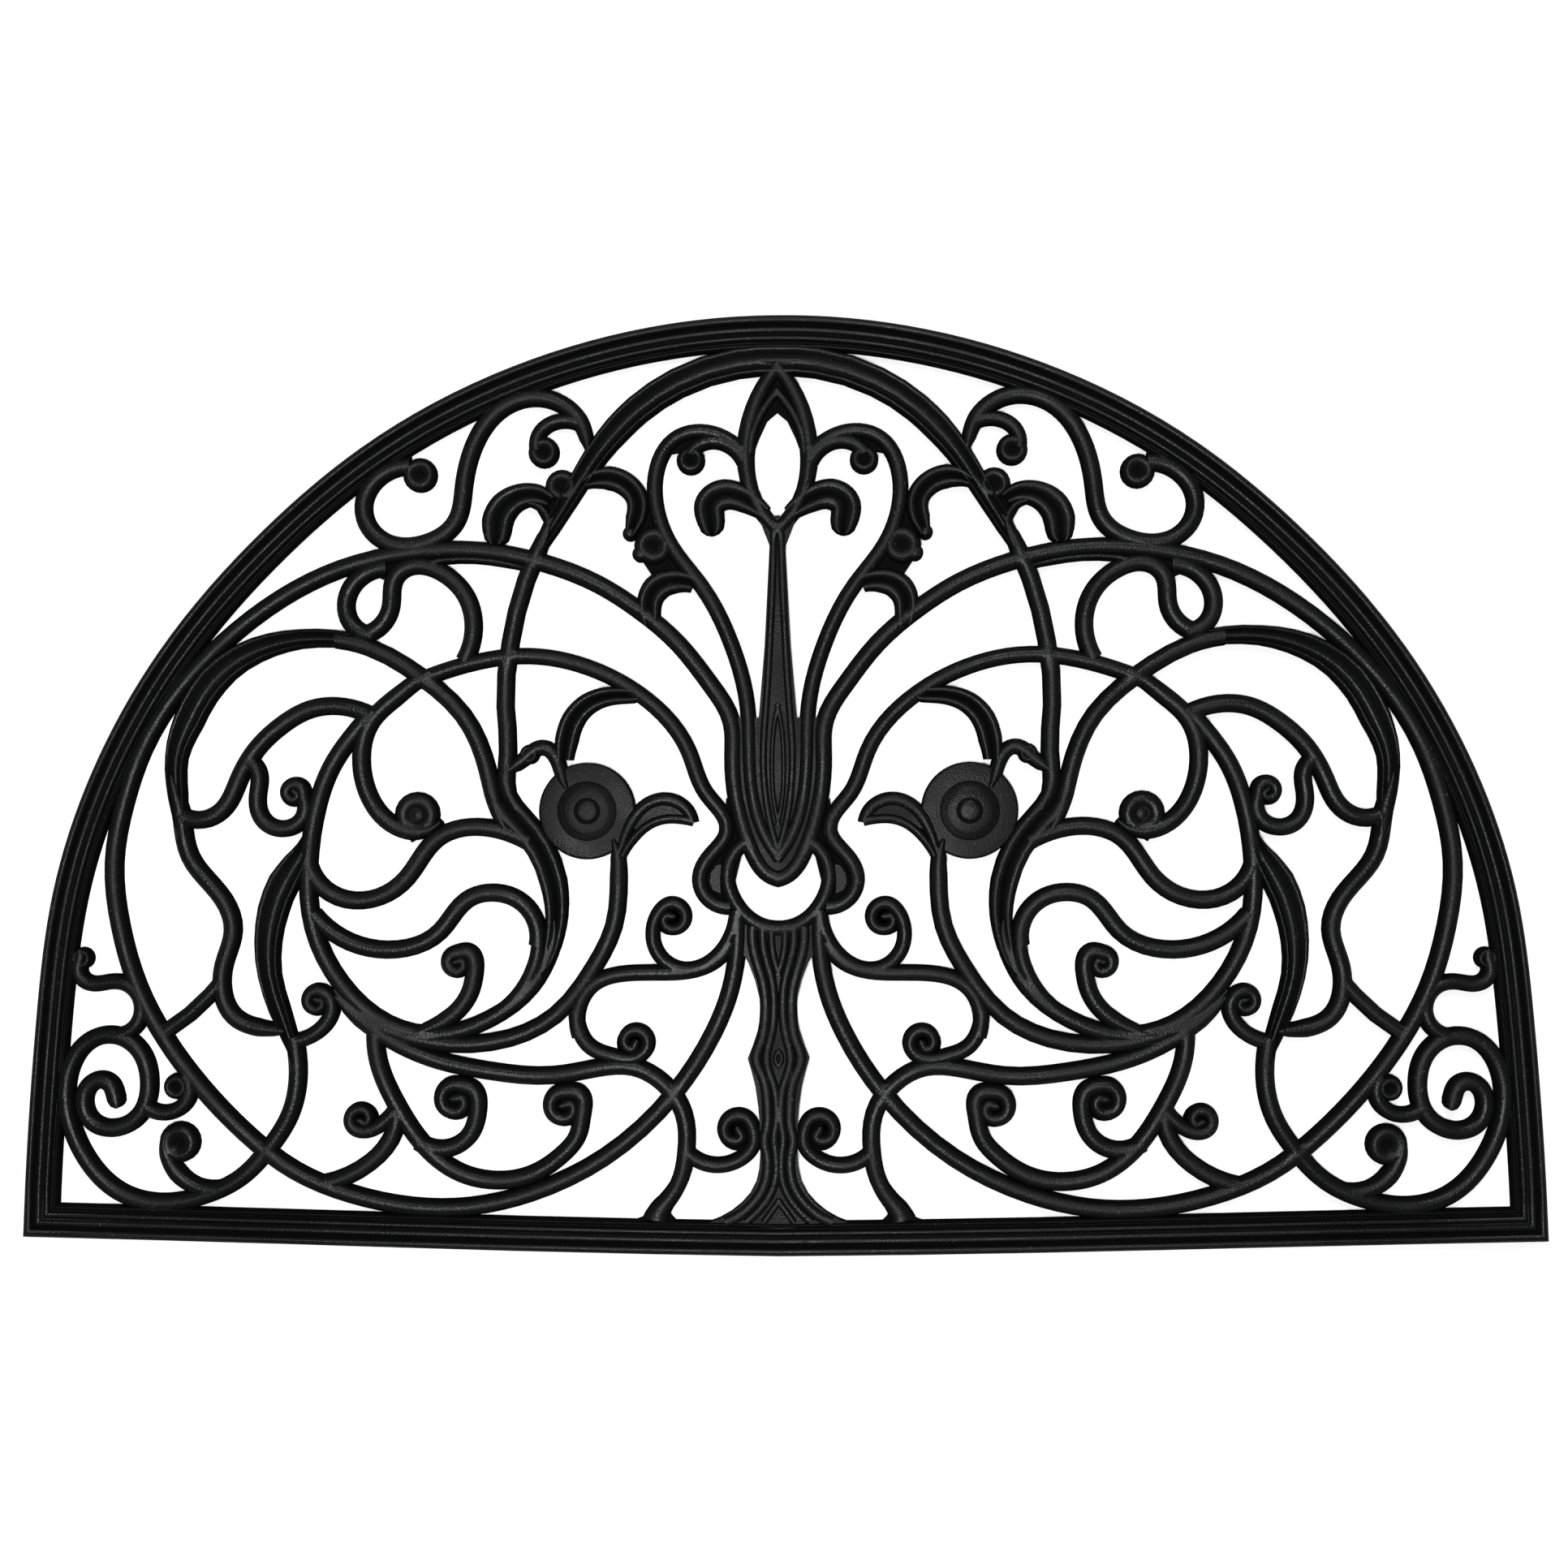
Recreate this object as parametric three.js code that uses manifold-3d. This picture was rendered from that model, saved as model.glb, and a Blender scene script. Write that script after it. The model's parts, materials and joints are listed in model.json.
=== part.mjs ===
// A half-round doormat of black rubber, moulded in one piece as openwork scrolls in the manner of wrought iron.
// Millimetres. X runs along the straight front edge, Y away from it, and Z up from the floor.
// The tables draw the right-hand half: x from the centre line, y from the front edge.
// The left half is its mirror.

import * as THREE from "three";
import { mergeVertices } from "three/addons/utils/BufferGeometryUtils.js";
import Module from "manifold-3d";

// Driving sizes
const MAT_WIDTH = 762;
const MAT_DEPTH = 470;
const FRONT_BOW = 5;
const CORNER_RISE = 3.6;
const CREST = 8;
const VALLEY = 4.5;
const SPINE = 6;
const WEB = 4.4;
const BAR_WIDTH = 8.8;
const TWIN_GROOVE_SHARE = 0.3;
const BEAD_RING_SHARE = 0.75;
const ROUNDEL = { x: 95.5, y: 217.6, radius: 24.2, face: 6.4, groove: 5.2, ring: 8, slope: 1.5 };
const RUBBER = { color: 0x1b1b1d, roughness: 0.42, metalness: 0 };

// How far straight runs stand off the curves that they follow
const BEND_TOLERANCE = 1.2;
const EDGE_TOLERANCE = 0.6;
const OUTWARD_SHARE = 0.15;
const PROBES = 12;
const BEAD_SIDES = 7;
const ROUNDEL_SIDES = 12;

// Every piece is drawn from below the floor to above the crests, and the mat is cut level at both.
const UNDER = -1;
const OVER = 9;

// The rim's section, from the outer wall to the inner one: a rib, a broad rib and a low shoulder.
const RIM_SECTION = [
  { inset: 0, height: UNDER },
  { inset: 0, height: OVER },
  { inset: 2.8, height: OVER },
  { inset: 5.4, height: 4.6 },
  { inset: 8, height: 7.4 },
  { inset: 12.3, height: 7.4 },
  { inset: 14.6, height: WEB },
  { inset: 16.8, height: WEB },
  { inset: 16.8, height: UNDER },
];

// The outline's front edge bows a little, and its sides lean out down to the corners.
const CORNER = [MAT_WIDTH / 2, CORNER_RISE];
const FRONT_EDGE = [[0, -FRONT_BOW], [130, -2.8], [250, 0.4], CORNER];
const ROUND_EDGE = [
  CORNER, [378.5, 55], [373.8, 116], [365.5, 176.7], [345.5, 237.7], [311.1, 298.6],
  [258, 359.4], [209, 400.1], [132.2, 440.5], [54.6, 461], [0, MAT_DEPTH - FRONT_BOW],
];

// Bars run smoothly through their points [x, y], or [x, y, width] where the width changes.
// A twin bar has two crests with a valley between them.
// A bar that crosses the centre line stops 1 mm beyond it.
const BARS = [
  { name: "hoop", through: [
    [20.5, 168], [20.5, 152], [24.2, 128], [32.6, 106.7], [52.5, 76], [87.4, 44.1], [124.8, 26], [155, 19.2],
    [185, 19.2], [215.2, 25.3], [243.6, 37], [268.8, 56.1], [291, 79.1], [309, 103.2], [322.9, 129.5],
    [331.8, 160], [334.9, 192], [329.6, 222], [320.2, 249], [300, 281], [279.8, 302.2], [249.8, 325],
    [220, 339.5], [185, 347.5], [150, 348.4], [118, 342.2], [90, 331.2], [69.8, 318.3], [49.8, 301.1],
    [33.2, 280], [23.3, 262], [22.5, 245], [20.5, 222], [12, 195.5], [6.5, 187.3], [-1, 183.6],
  ] },
  { name: "foot", through: [
    [62.5, 12, 14], [56, 22, 9.5], [51, 29.8, 8.5], [46.5, 47], [47.7, 66], [58.2, 81.5], [73, 89.3],
    [90, 88.9], [113, 85.1], [145, 87.2], [170.5, 92.4], [190, 100.2], [212, 115],
  ] },
  { name: "foot curl", width: 8, through: [[47, 48], [38, 41.5], [28, 40.4], [18.5, 44], [12.5, 52]] },
  { name: "shoulder curl", width: 8, through: [[101.5, 118], [100, 108], [94.5, 99.5], [84, 95], [72, 94]] },
  { name: "sickle", through: [
    [100, 76], [98.6, 66], [101, 55], [108, 46], [125, 35], [145, 32.4], [160.4, 36.3], [179.8, 51.6],
    [192.3, 70.6], [201.4, 92.3], [202.5, 110],
  ] },
  { name: "sickle hook", through: [[153.5, 78], [151.2, 68], [154.6, 56.3], [164.5, 48.8], [181, 51.6]] },
  { name: "crook", width: 8, through: [[192.5, 68], [198, 62], [206, 57.5]] },
  { name: "crook root", through: [[192, 68], [193.3, 57.2], [205.8, 41], [229.5, 30.4]] },
  { name: "corner scroll", through: [
    [244, 104], [242, 85], [246.4, 64.7], [257, 48], [271.7, 33], [290, 24.3], [310, 20.8], [332, 26],
    [351.6, 47], [359.2, 70], [357, 90], [348, 102], [336, 105.2], [322, 97.4], [317.3, 82], [320.5, 67.6],
    [333, 58.6], [345.5, 61.1], [350.5, 72], [346, 81.3], [337, 80.6], [334, 73],
  ] },
  { name: "rim hook", width: 8, through: [
    [334, 105], [323.5, 110.5], [320.8, 120], [326.3, 129.7], [337, 132], [347, 131.3], [352.6, 137],
    [351.5, 145],
  ] },
  { name: "corner bud", width: 8, through: [[320, 70.5], [310, 66], [299.5, 70.4], [296.5, 78], [299, 85]] },
  { name: "corner comma", through: [[280, 28], [293, 29, 8.5], [303, 36, 9.5], [307.5, 46, 10]] },
  { name: "side wave", through: [
    [302.5, 225], [296.3, 195], [281.8, 176.5], [274.7, 158], [279.3, 141], [280.2, 128], [274.2, 114.6],
    [262, 109], [246, 109.3],
  ] },
  { name: "side spur", width: 8, through: [[280, 133], [286.4, 125.4], [308.4, 107.4]] },
  { name: "eye arch", through: [
    [302, 216.5], [290, 213.6], [278.4, 220.3], [271.6, 233.7], [262.7, 249], [249.7, 261.2], [234.8, 269.2],
    [222, 270.6], [205, 266],
  ] },
  { name: "eye hook", width: 8.6, through: [
    [267, 243], [261.8, 238], [262, 226], [258, 212.2], [247, 209.2], [238, 214.8], [236.5, 222],
  ] },
  { name: "leaf", twin: true, through: [
    [236.5, 205, 8], [242.5, 193, 13], [248.8, 182, 16], [254.3, 168, 15.5], [256.9, 152, 13.5],
    [256, 135, 11.5], [251.5, 118, 10.5], [246.5, 103, 9],
  ] },
  { name: "leaf curl", width: 8, through: [[244, 102], [234, 105.6], [225.4, 115], [225.5, 124]] },
  { name: "loop side", through: [
    [203, 268], [215, 254.5], [225, 239.5], [231.5, 222], [236.4, 190], [234, 159.5], [219.8, 130.8],
    [196.5, 110.8], [170, 105.6], [145.2, 113.3], [124.1, 129.7], [113.3, 150],
  ] },
  { name: "loop lower", through: [
    [216, 120.5], [195, 107.6], [165, 100.8], [135, 103.7], [112.2, 115.1], [92.4, 139.6], [82.6, 159.8],
    [80, 185], [80, 200],
  ] },
  { name: "loop inner", width: 8, through: [
    [121, 160], [120.2, 150], [122.4, 140], [132.2, 123.4], [150, 111.5],
  ] },
  { name: "waist", twin: true, through: [
    [141, 236, 15], [138.8, 225, 15], [124, 206, 15], [112.8, 182, 14], [111.2, 165, 11.5], [113.5, 150, 9.5],
  ] },
  { name: "upper wave", through: [
    [125, 202], [138, 207.6], [155, 209.6], [171.8, 203.6], [186.7, 184.3], [205, 173.4], [225.3, 176.5],
    [236, 190],
  ] },
  { name: "lower wave", through: [
    [121, 150], [121.7, 162], [130.6, 173.1], [144, 176.7], [156.6, 173], [170, 157.4], [192, 148.2],
    [215.4, 151.9], [234, 166],
  ] },
  { name: "loop hook", through: [[176, 109], [166, 113.5], [155.2, 126.5], [152.6, 138], [156, 147]] },
  { name: "eye scroll", through: [
    [179, 284.8], [192.3, 274.7], [204.8, 262.5], [209.6, 245], [206.7, 227.7], [197.3, 213.6], [181, 207.6],
  ] },
  { name: "collar arm", width: 8.2, through: [
    [24, 152], [31, 143], [42, 138], [58, 136.6], [76, 136.2], [92.8, 130.8], [100.8, 117], [99.8, 105],
  ] },
  { name: "collar curl", width: 7.5, through: [
    [21, 167], [24.2, 154.5], [33.6, 142.6], [48.3, 138.4], [60.4, 146.5], [62.8, 159], [59, 168],
  ] },
  { name: "side arch", width: 8.2, through: [
    [24, 169.5], [35, 173.6], [39.2, 184.5], [32.2, 197.2], [25.6, 207.7], [36, 226.2], [44.6, 247],
    [65.6, 273.2], [95.2, 289.6], [125, 295.4], [155, 291.6], [182, 282.5],
  ] },
  { name: "cup ring", width: 8, through: [
    [-1, 158.6], [12, 161.7], [22, 172.4], [25.6, 186], [20.5, 198.5], [14, 203],
  ] },
  { name: "tulip", width: 8, through: [
    [-1, 193.5], [7.5, 207], [13, 227], [14.5, 250], [15.3, 270], [23, 300.3], [38.3, 330.2], [53.2, 350],
    [60.4, 368], [60.2, 389.5], [51.8, 403.2], [38, 407.2], [24, 402.5], [16, 395],
  ] },
  { name: "finial", through: [
    [-1, 440, 7.6], [9.4, 424.6, 8.5], [15.7, 400, 9.5], [13.2, 377.5, 8], [-1, 357, 7.6],
  ] },
  { name: "finial curl", width: 7.5, through: [[17, 392], [24, 400], [34, 402.3], [44, 396]] },
  { name: "finial leaf", twin: true, through: [
    [6, 366, 8], [16, 373, 13], [26.5, 375.5, 15.5], [34, 369, 15.5], [33, 360, 13],
  ] },
  { name: "great arch", twin: true, through: [
    [-1, 442.6, 15.4], [20, 441.4, 15.4], [50, 431.7, 15.2], [70, 418.6, 14.8], [80, 409, 14.4],
    [90, 396.9, 13], [107, 370.9, 11], [114, 360, 10.4], [119.3, 350, 9.2],
  ] },
  { name: "middle bar", through: [
    [117.5, 354], [126.4, 333], [134.2, 302], [136.8, 270], [135.6, 247, 9.4], [136.5, 236, 10],
  ] },
  { name: "shoulder scroll", through: [
    [93.5, 396], [97.6, 411.2], [116, 424.5], [136.8, 420.6], [152.2, 401.4], [157.6, 380], [161.6, 362.9],
    [175.2, 352.8], [195.8, 352.4], [208, 368], [199.4, 386.2], [184, 391],
  ] },
  { name: "shoulder hook", width: 7.5, through: [[99, 411.5], [109.5, 413], [119.5, 406.5], [120.5, 398]] },
  { name: "crescent", twin: true, through: [
    [96, 383, 11], [86, 385, 12.5], [75, 381, 12], [69.8, 372, 11.5], [71, 363, 11.5], [73.5, 356.5, 9],
  ] },
  { name: "cusp", twin: true, through: [
    [42, 331, 9], [52, 332.6, 12.5], [61, 328.8, 14], [64.3, 321, 12.5], [64, 315, 11],
  ] },
  { name: "wing", twin: true, through: [
    [113, 372.5, 10], [120, 376, 11.5], [128.5, 375.5, 13], [136.7, 370.5, 15.5], [140.5, 361.5, 16.5],
    [140.5, 351, 14.5],
  ] },
  { name: "side scroll", through: [
    [157.6, 293], [152.8, 312], [157.6, 327.3], [169.5, 337.9], [184, 340.8], [192.7, 334], [194.5, 320.5],
    [205.8, 307],
  ] },
  { name: "side loop", through: [[203, 306.3], [213.4, 310.8], [216.8, 324], [208.9, 336], [196, 340]] },
  { name: "side bow", through: [
    [139, 213], [142.3, 225], [147.8, 245], [158.2, 265.9], [178.4, 284.5], [205.2, 299.9], [222, 304],
  ] },
  { name: "side bow twin", twin: true, through: [
    [214, 303.3, 8.5], [240, 304.4, 10], [262.5, 299, 13], [284.6, 283.6, 15.5], [297, 263, 15],
    [303, 245, 11], [302.5, 225, 9],
  ] },
  { name: "fan", twin: true, through: [
    [72, 275.5, 8], [84, 275.2, 9.5], [95, 271.4, 11], [102.6, 263.3, 12], [106, 253, 12], [107, 243, 9],
  ] },
  { name: "fan hook", width: 8, through: [[109, 236], [111, 244.5], [117.5, 249.6], [126, 243]] },
  { name: "petal", twin: true, through: [
    [41, 212.5, 7], [48, 217.6, 11.5], [57.5, 219.6, 15], [67, 216.6, 14.5], [75, 208.6, 13], [80, 200, 9.5],
  ] },
];

// Beads are round bosses with a dished top. The larger ones are the heads that curls end in.
const BEADS = [
  { name: "collar bead", x: 62, y: 350.3, radius: 9.8 },
  { name: "arch bead", x: 108, y: 380.3, radius: 8.3 },
  { name: "finial bead", x: 43.3, y: 392.8, radius: 7.2 },
  { name: "hook bead", x: 117, y: 397.3, radius: 7.8 },
  { name: "scroll bead", x: 179.3, y: 386.3, radius: 8.6 },
  { name: "eye bead", x: 181.2, y: 216, radius: 11.4 },
  { name: "eye knob", x: 242.4, y: 227, radius: 8.8 },
  { name: "bud", x: 303, y: 79.5, radius: 6.6 },
  { name: "comma", x: 301.7, y: 51.3, radius: 10.3 },
  { name: "corner knob", x: 334.8, y: 71.5, radius: 5.5 },
  { name: "hook knob", x: 350.7, y: 144, radius: 5.5 },
  { name: "foot head", x: 20.5, y: 57.8, radius: 11.6 },
  { name: "shoulder head", x: 72, y: 101.7, radius: 10.6 },
  { name: "sickle head", x: 107.3, y: 70, radius: 11.6 },
  { name: "sickle hook head", x: 162, y: 73.3, radius: 11.8 },
  { name: "crook head", x: 209.6, y: 63, radius: 9.8 },
  { name: "leaf head", x: 231.6, y: 122.6, radius: 9.2 },
  { name: "loop hook head", x: 161, y: 141.8, radius: 9.2 },
  { name: "collar head", x: 53.8, y: 164.6, radius: 10.2 },
  { name: "fan head", x: 124.5, y: 246, radius: 5 },
];

// Low plates fill between neighbouring bars. Each is a closed outline of [x, y].
const PLATES = [
  { name: "post", height: SPINE, outline: [
    [-1, 9], [31, 9], [28, 15], [16.5, 21.5], [9.2, 33], [8, 50], [9, 82], [15, 94], [9, 108], [8.4, 122],
    [13, 138], [20, 150], [20, 166], [-1, 161],
  ] },
  { name: "spear", height: SPINE, outline: [
    [-1, 186], [6, 189], [14, 203], [19, 222], [20, 264], [9.5, 264], [6.5, 300], [3.9, 350], [9, 363],
    [-1, 365],
  ] },
  { name: "collar web", height: WEB, outline: [
    [24, 172], [38, 178], [27, 207], [26, 224], [18, 214], [17, 201],
  ] },
  { name: "finial web", height: WEB, outline: [
    [-1, 438], [8, 424], [13, 405], [12, 396], [9, 404], [5, 412.5], [-1, 417.5],
  ] },
  { name: "curl web", height: WEB, outline: [[30, 405], [46, 404], [54, 396], [49, 397], [40, 399]] },
  { name: "bead web", height: WEB, outline: [[48, 344], [46, 335], [62, 334], [70, 346], [62, 356]] },
  { name: "crescent web", height: WEB, outline: [[58, 352], [60, 374], [68, 374], [72, 356]] },
  { name: "wing web", height: WEB, outline: [[110, 374], [120, 377], [120, 368], [115, 361]] },
  { name: "eye web", height: WEB, outline: [[168, 212], [184, 202], [187, 208], [174, 218]] },
  { name: "loop web", height: WEB, outline: [[188, 343], [196, 333], [203, 336], [200, 344]] },
];

// Directions of a smooth curve at its points, each as the turn from the chord that leaves it.
// Neighbouring pieces share one bend at their common point, and each end keeps its piece's bend.
function turnsAlong(lengths, corners) {
  const last = lengths.length;
  const rows = [{ before: 0, own: 1, after: 1, sum: -(corners[1] ?? 0) }];
  for (let k = 1; k < last; k++) {
    const before = 1 / lengths[k - 1];
    const after = 1 / lengths[k];
    const sum = -2 * corners[k] * before - corners[k + 1] * after;
    rows.push({ before, own: 2 * (before + after), after, sum });
  }
  rows.push({ before: 1, own: 1, after: 0, sum: 0 });
  for (let k = 1; k <= last; k++) {
    const share = rows[k].before / rows[k - 1].own;
    rows[k].own -= share * rows[k - 1].after;
    rows[k].sum -= share * rows[k - 1].sum;
  }
  const turns = new Array(last + 1).fill(0);
  for (let k = last; k >= 0; k--) turns[k] = (rows[k].sum - rows[k].after * (turns[k + 1] ?? 0)) / rows[k].own;
  return turns;
}

// How far a curve piece's handle reaches, as a share of its chord, for its leaving and arriving turns.
function handleReach(leaving, arriving) {
  const golden = (Math.sqrt(5) - 1) / 2;
  const [s, t] = [Math.sin(leaving), Math.sin(arriving)];
  const [c, d] = [Math.cos(leaving), Math.cos(arriving)];
  const lift = Math.SQRT2 * (s - t / 16) * (t - s / 16) * (c - d);
  return (2 + lift) / (3 * (1 + golden * c + (1 - golden) * d));
}

// Smooth curve pieces through the points, near to round arcs.
function smoothPieces(points) {
  const knots = points.map(([x, y]) => new THREE.Vector2(x, y));
  const chords = knots.slice(1).map((knot, k) => knot.clone().sub(knots[k]));
  const lengths = chords.map((chord) => chord.length());
  const corners = chords.map((chord, k) => {
    if (k === 0) return 0;
    return Math.atan2(chords[k - 1].cross(chord), chords[k - 1].dot(chord));
  });
  corners.push(0);
  if (chords.length === 1) return [new THREE.LineCurve(knots[0], knots[1])];
  const turns = turnsAlong(lengths, corners);
  const origin = new THREE.Vector2();
  return chords.map((chord, k) => {
    const leaving = turns[k];
    const arriving = -corners[k + 1] - turns[k + 1];
    const out = chord.clone().rotateAround(origin, leaving).multiplyScalar(handleReach(leaving, arriving));
    const back = chord.clone().rotateAround(origin, -arriving).multiplyScalar(handleReach(arriving, leaving));
    const [start, end] = [knots[k], knots[k + 1]];
    return new THREE.CubicBezierCurve(start, start.clone().add(out), end.clone().sub(back), end);
  });
}

// Stations along the pieces, closer together where they bend more: place, left-hand side and reach in pieces.
function stationsAlong(pieces, tolerance) {
  const marks = [{ reach: 0, measure: 0 }];
  let measure = 0;
  for (let k = 0; k < pieces.length; k++) {
    for (let i = 0; i < PROBES; i++) {
      const [from, to] = [i / PROBES, (i + 1) / PROBES];
      const bend = pieces[k].getTangent(from).angleTo(pieces[k].getTangent(to));
      const run = pieces[k].getPoint(from).distanceTo(pieces[k].getPoint(to));
      measure += Math.sqrt((run * bend) / (8 * tolerance));
      marks.push({ reach: k + to, measure });
    }
  }
  const steps = Math.max(1, Math.round(measure));
  const stations = [];
  for (let n = 0, m = 0; n <= steps; n++) {
    const target = (measure * n) / steps;
    while (m < marks.length - 2 && marks[m + 1].measure < target) m++;
    const share = (target - marks[m].measure) / (marks[m + 1].measure - marks[m].measure);
    const reach = n === steps ? pieces.length : THREE.MathUtils.lerp(marks[m].reach, marks[m + 1].reach, share);
    const k = Math.min(Math.floor(reach), pieces.length - 1);
    const tangent = pieces[k].getTangent(reach - k);
    const side = new THREE.Vector2(-tangent.y, tangent.x);
    stations.push({ on: pieces[k].getPoint(reach - k), side, reach });
  }
  // A station moves out by a share of its distance from its neighbours' middle, so that the straight runs
  // between stations lie evenly on both sides of the curve.
  return stations.map(({ on, side, reach }, n) => {
    if (n === 0 || n === steps) return { at: on, side, reach };
    const middle = stations[n - 1].on.clone().add(stations[n + 1].on).multiplyScalar(0.5);
    return { at: on.clone().lerp(middle, -OUTWARD_SHARE), side, reach };
  });
}

// A closed geometry from rings of points, each ring joined to the next.
// The caps are the triangles of its two flat ends. Without caps the last ring joins the first.
function sweptGeometry(rings, caps) {
  const size = rings[0].length;
  const positions = rings.flat().flatMap((point) => [point.x, point.y, point.z]);
  const faces = [];
  const strips = caps ? rings.length - 1 : rings.length;
  for (let r = 0; r < strips; r++) {
    const [here, next] = [r * size, ((r + 1) % rings.length) * size];
    for (let i = 0; i < size; i++) {
      const j = (i + 1) % size;
      faces.push(here + i, here + j, next + j, here + i, next + j, next + i);
    }
  }
  const end = (rings.length - 1) * size;
  for (const [a, b, c] of caps ?? []) faces.push(a, c, b, end + a, end + b, end + c);
  const geometry = new THREE.BufferGeometry();
  geometry.setAttribute("position", new THREE.Float32BufferAttribute(positions, 3));
  geometry.setIndex(faces);
  return geometry;
}

// A bar's section from its left foot to its right one: across in half widths, and height.
const BAR_SECTION = [[1, UNDER], [1, OVER], [-1, OVER], [-1, UNDER]];
const TWIN_SECTION = [
  [1, UNDER], [1, OVER], [TWIN_GROOVE_SHARE, OVER], [0, VALLEY], [-TWIN_GROOVE_SHARE, OVER], [-1, OVER],
  [-1, UNDER],
];

function barGeometry({ through, width = BAR_WIDTH, twin = false }) {
  const widths = through.map((point) => point[2] ?? width);
  const section = twin ? TWIN_SECTION : BAR_SECTION;
  const rings = stationsAlong(smoothPieces(through), BEND_TOLERANCE).map(({ at, side, reach }) => {
    const k = Math.min(Math.floor(reach), through.length - 2);
    const half = THREE.MathUtils.lerp(widths[k], widths[k + 1], reach - k) / 2;
    return section.map(([across, height]) => {
      const place = at.clone().addScaledVector(side, across * half);
      return new THREE.Vector3(place.x, place.y, height);
    });
  });
  const outline = section.map(([across, height]) => new THREE.Vector2(across, height));
  return sweptGeometry(rings, THREE.ShapeUtils.triangulateShape(outline, []));
}

// The rim: its section swept once round the outline, mitred at the two front corners.
function rimGeometry() {
  const front = stationsAlong(smoothPieces(FRONT_EDGE), EDGE_TOLERANCE).map(({ at }) => at);
  const round = stationsAlong(smoothPieces(ROUND_EDGE), EDGE_TOLERANCE).map(({ at }) => at);
  const right = [...front, ...round.slice(1)];
  const left = right.slice(1, -1).reverse().map(({ x, y }) => new THREE.Vector2(-x, y));
  const outline = [...right, ...left];
  const rings = outline.map((point, k) => {
    const before = outline.at(k - 1).clone().sub(point).normalize();
    const after = outline[(k + 1) % outline.length].clone().sub(point).normalize();
    const inward = new THREE.Vector2(-after.y, after.x).add(new THREE.Vector2(before.y, -before.x)).normalize();
    const stretch = 1 / Math.abs(after.cross(inward));
    return RIM_SECTION.map(({ inset, height }) => {
      const place = point.clone().addScaledVector(inward, inset * stretch);
      return new THREE.Vector3(place.x, place.y, height);
    });
  });
  return sweptGeometry(rings.reverse());
}

// A round boss turned from its profile of [radius, height].
function turnedGeometry({ x, y }, profile, sides) {
  const points = profile.map(([radius, height]) => new THREE.Vector2(radius, height));
  return new THREE.LatheGeometry(points, sides).rotateX(Math.PI / 2).translate(x, y, 0);
}

// A bead: a flat ring about a dished middle.
function beadGeometry(bead) {
  const { radius } = bead;
  const dish = BEAD_RING_SHARE * radius;
  const profile = [[0, UNDER], [radius, UNDER], [radius, OVER], [dish, OVER], [0, VALLEY]];
  return turnedGeometry(bead, profile, BEAD_SIDES);
}

// The roundel: a flat ring, a shallow groove and a middle that rises again.
function roundelGeometry({ radius, face, groove, ring, slope }) {
  const inner = radius - ring;
  const low = inner - slope;
  const profile = [[0, UNDER], [radius, UNDER], [radius, face], [inner, face], [low, groove], [0, face]];
  return turnedGeometry(ROUNDEL, profile, ROUNDEL_SIDES);
}

function plateGeometry({ outline, height }) {
  const shape = new THREE.Shape(outline.map(([x, y]) => new THREE.Vector2(x, y)));
  const plate = new THREE.ExtrudeGeometry(shape, { depth: height - UNDER, bevelEnabled: false });
  return plate.translate(0, 0, UNDER);
}

const wasm = await Module();
wasm.setup();

function solidOf(geometry) {
  const bare = geometry.clone();
  bare.deleteAttribute("normal");
  bare.deleteAttribute("uv");
  const merged = mergeVertices(bare, 1e-4);
  const triVerts = new Uint32Array(merged.index.array);
  const vertProperties = new Float32Array(merged.attributes.position.array);
  return new wasm.Manifold(new wasm.Mesh({ numProp: 3, vertProperties, triVerts }));
}

// The same shape on the other side of the centre line, with its faces still pointing out.
function mirrored(geometry) {
  const copy = geometry.clone().applyMatrix4(new THREE.Matrix4().makeScale(-1, 1, 1));
  if (!copy.index) copy.setIndex([...Array(copy.attributes.position.count).keys()]);
  const faces = copy.index.array;
  for (let i = 0; i < faces.length; i += 3) [faces[i + 1], faces[i + 2]] = [faces[i + 2], faces[i + 1]];
  return copy;
}

function geometryOf(solid) {
  const mesh = solid.getMesh();
  const geometry = new THREE.BufferGeometry();
  geometry.setAttribute("position", new THREE.Float32BufferAttribute(mesh.vertProperties, 3));
  geometry.setIndex(new THREE.Uint32BufferAttribute(mesh.triVerts, 1));
  geometry.computeVertexNormals();
  return geometry;
}

// The mat: rim, bars, beads, roundels and plates, joined and cut level at the floor and at the crests.
function matGeometry() {
  const half = [
    ...BARS.map(barGeometry),
    ...BEADS.map(beadGeometry),
    roundelGeometry(ROUNDEL),
    ...PLATES.map(plateGeometry),
  ];
  let solid = solidOf(rimGeometry());
  for (const piece of half) solid = solid.add(solidOf(piece)).add(solidOf(mirrored(piece)));
  const slab = new THREE.BoxGeometry(2 * MAT_WIDTH, 2 * MAT_WIDTH, CREST).translate(0, 0, CREST / 2);
  const frontToMiddle = MAT_DEPTH / 2 - FRONT_BOW;
  return geometryOf(solid.intersect(solidOf(slab))).translate(0, -frontToMiddle, 0);
}

const mat = new THREE.Mesh(matGeometry(), new THREE.MeshStandardMaterial(RUBBER));
mat.name = "mat";

const doormat = new THREE.Group();
doormat.add(mat);

export default doormat;
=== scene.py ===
# Half-round openwork doormat of moulded black rubber: a ribbed rim, a middle post with a spear above it,
# and bars that scroll out to both sides in the manner of wrought iron.
# The tables are in millimetres: x from the centre line and y from the front edge, for the right-hand half.

import json
import math

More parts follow.
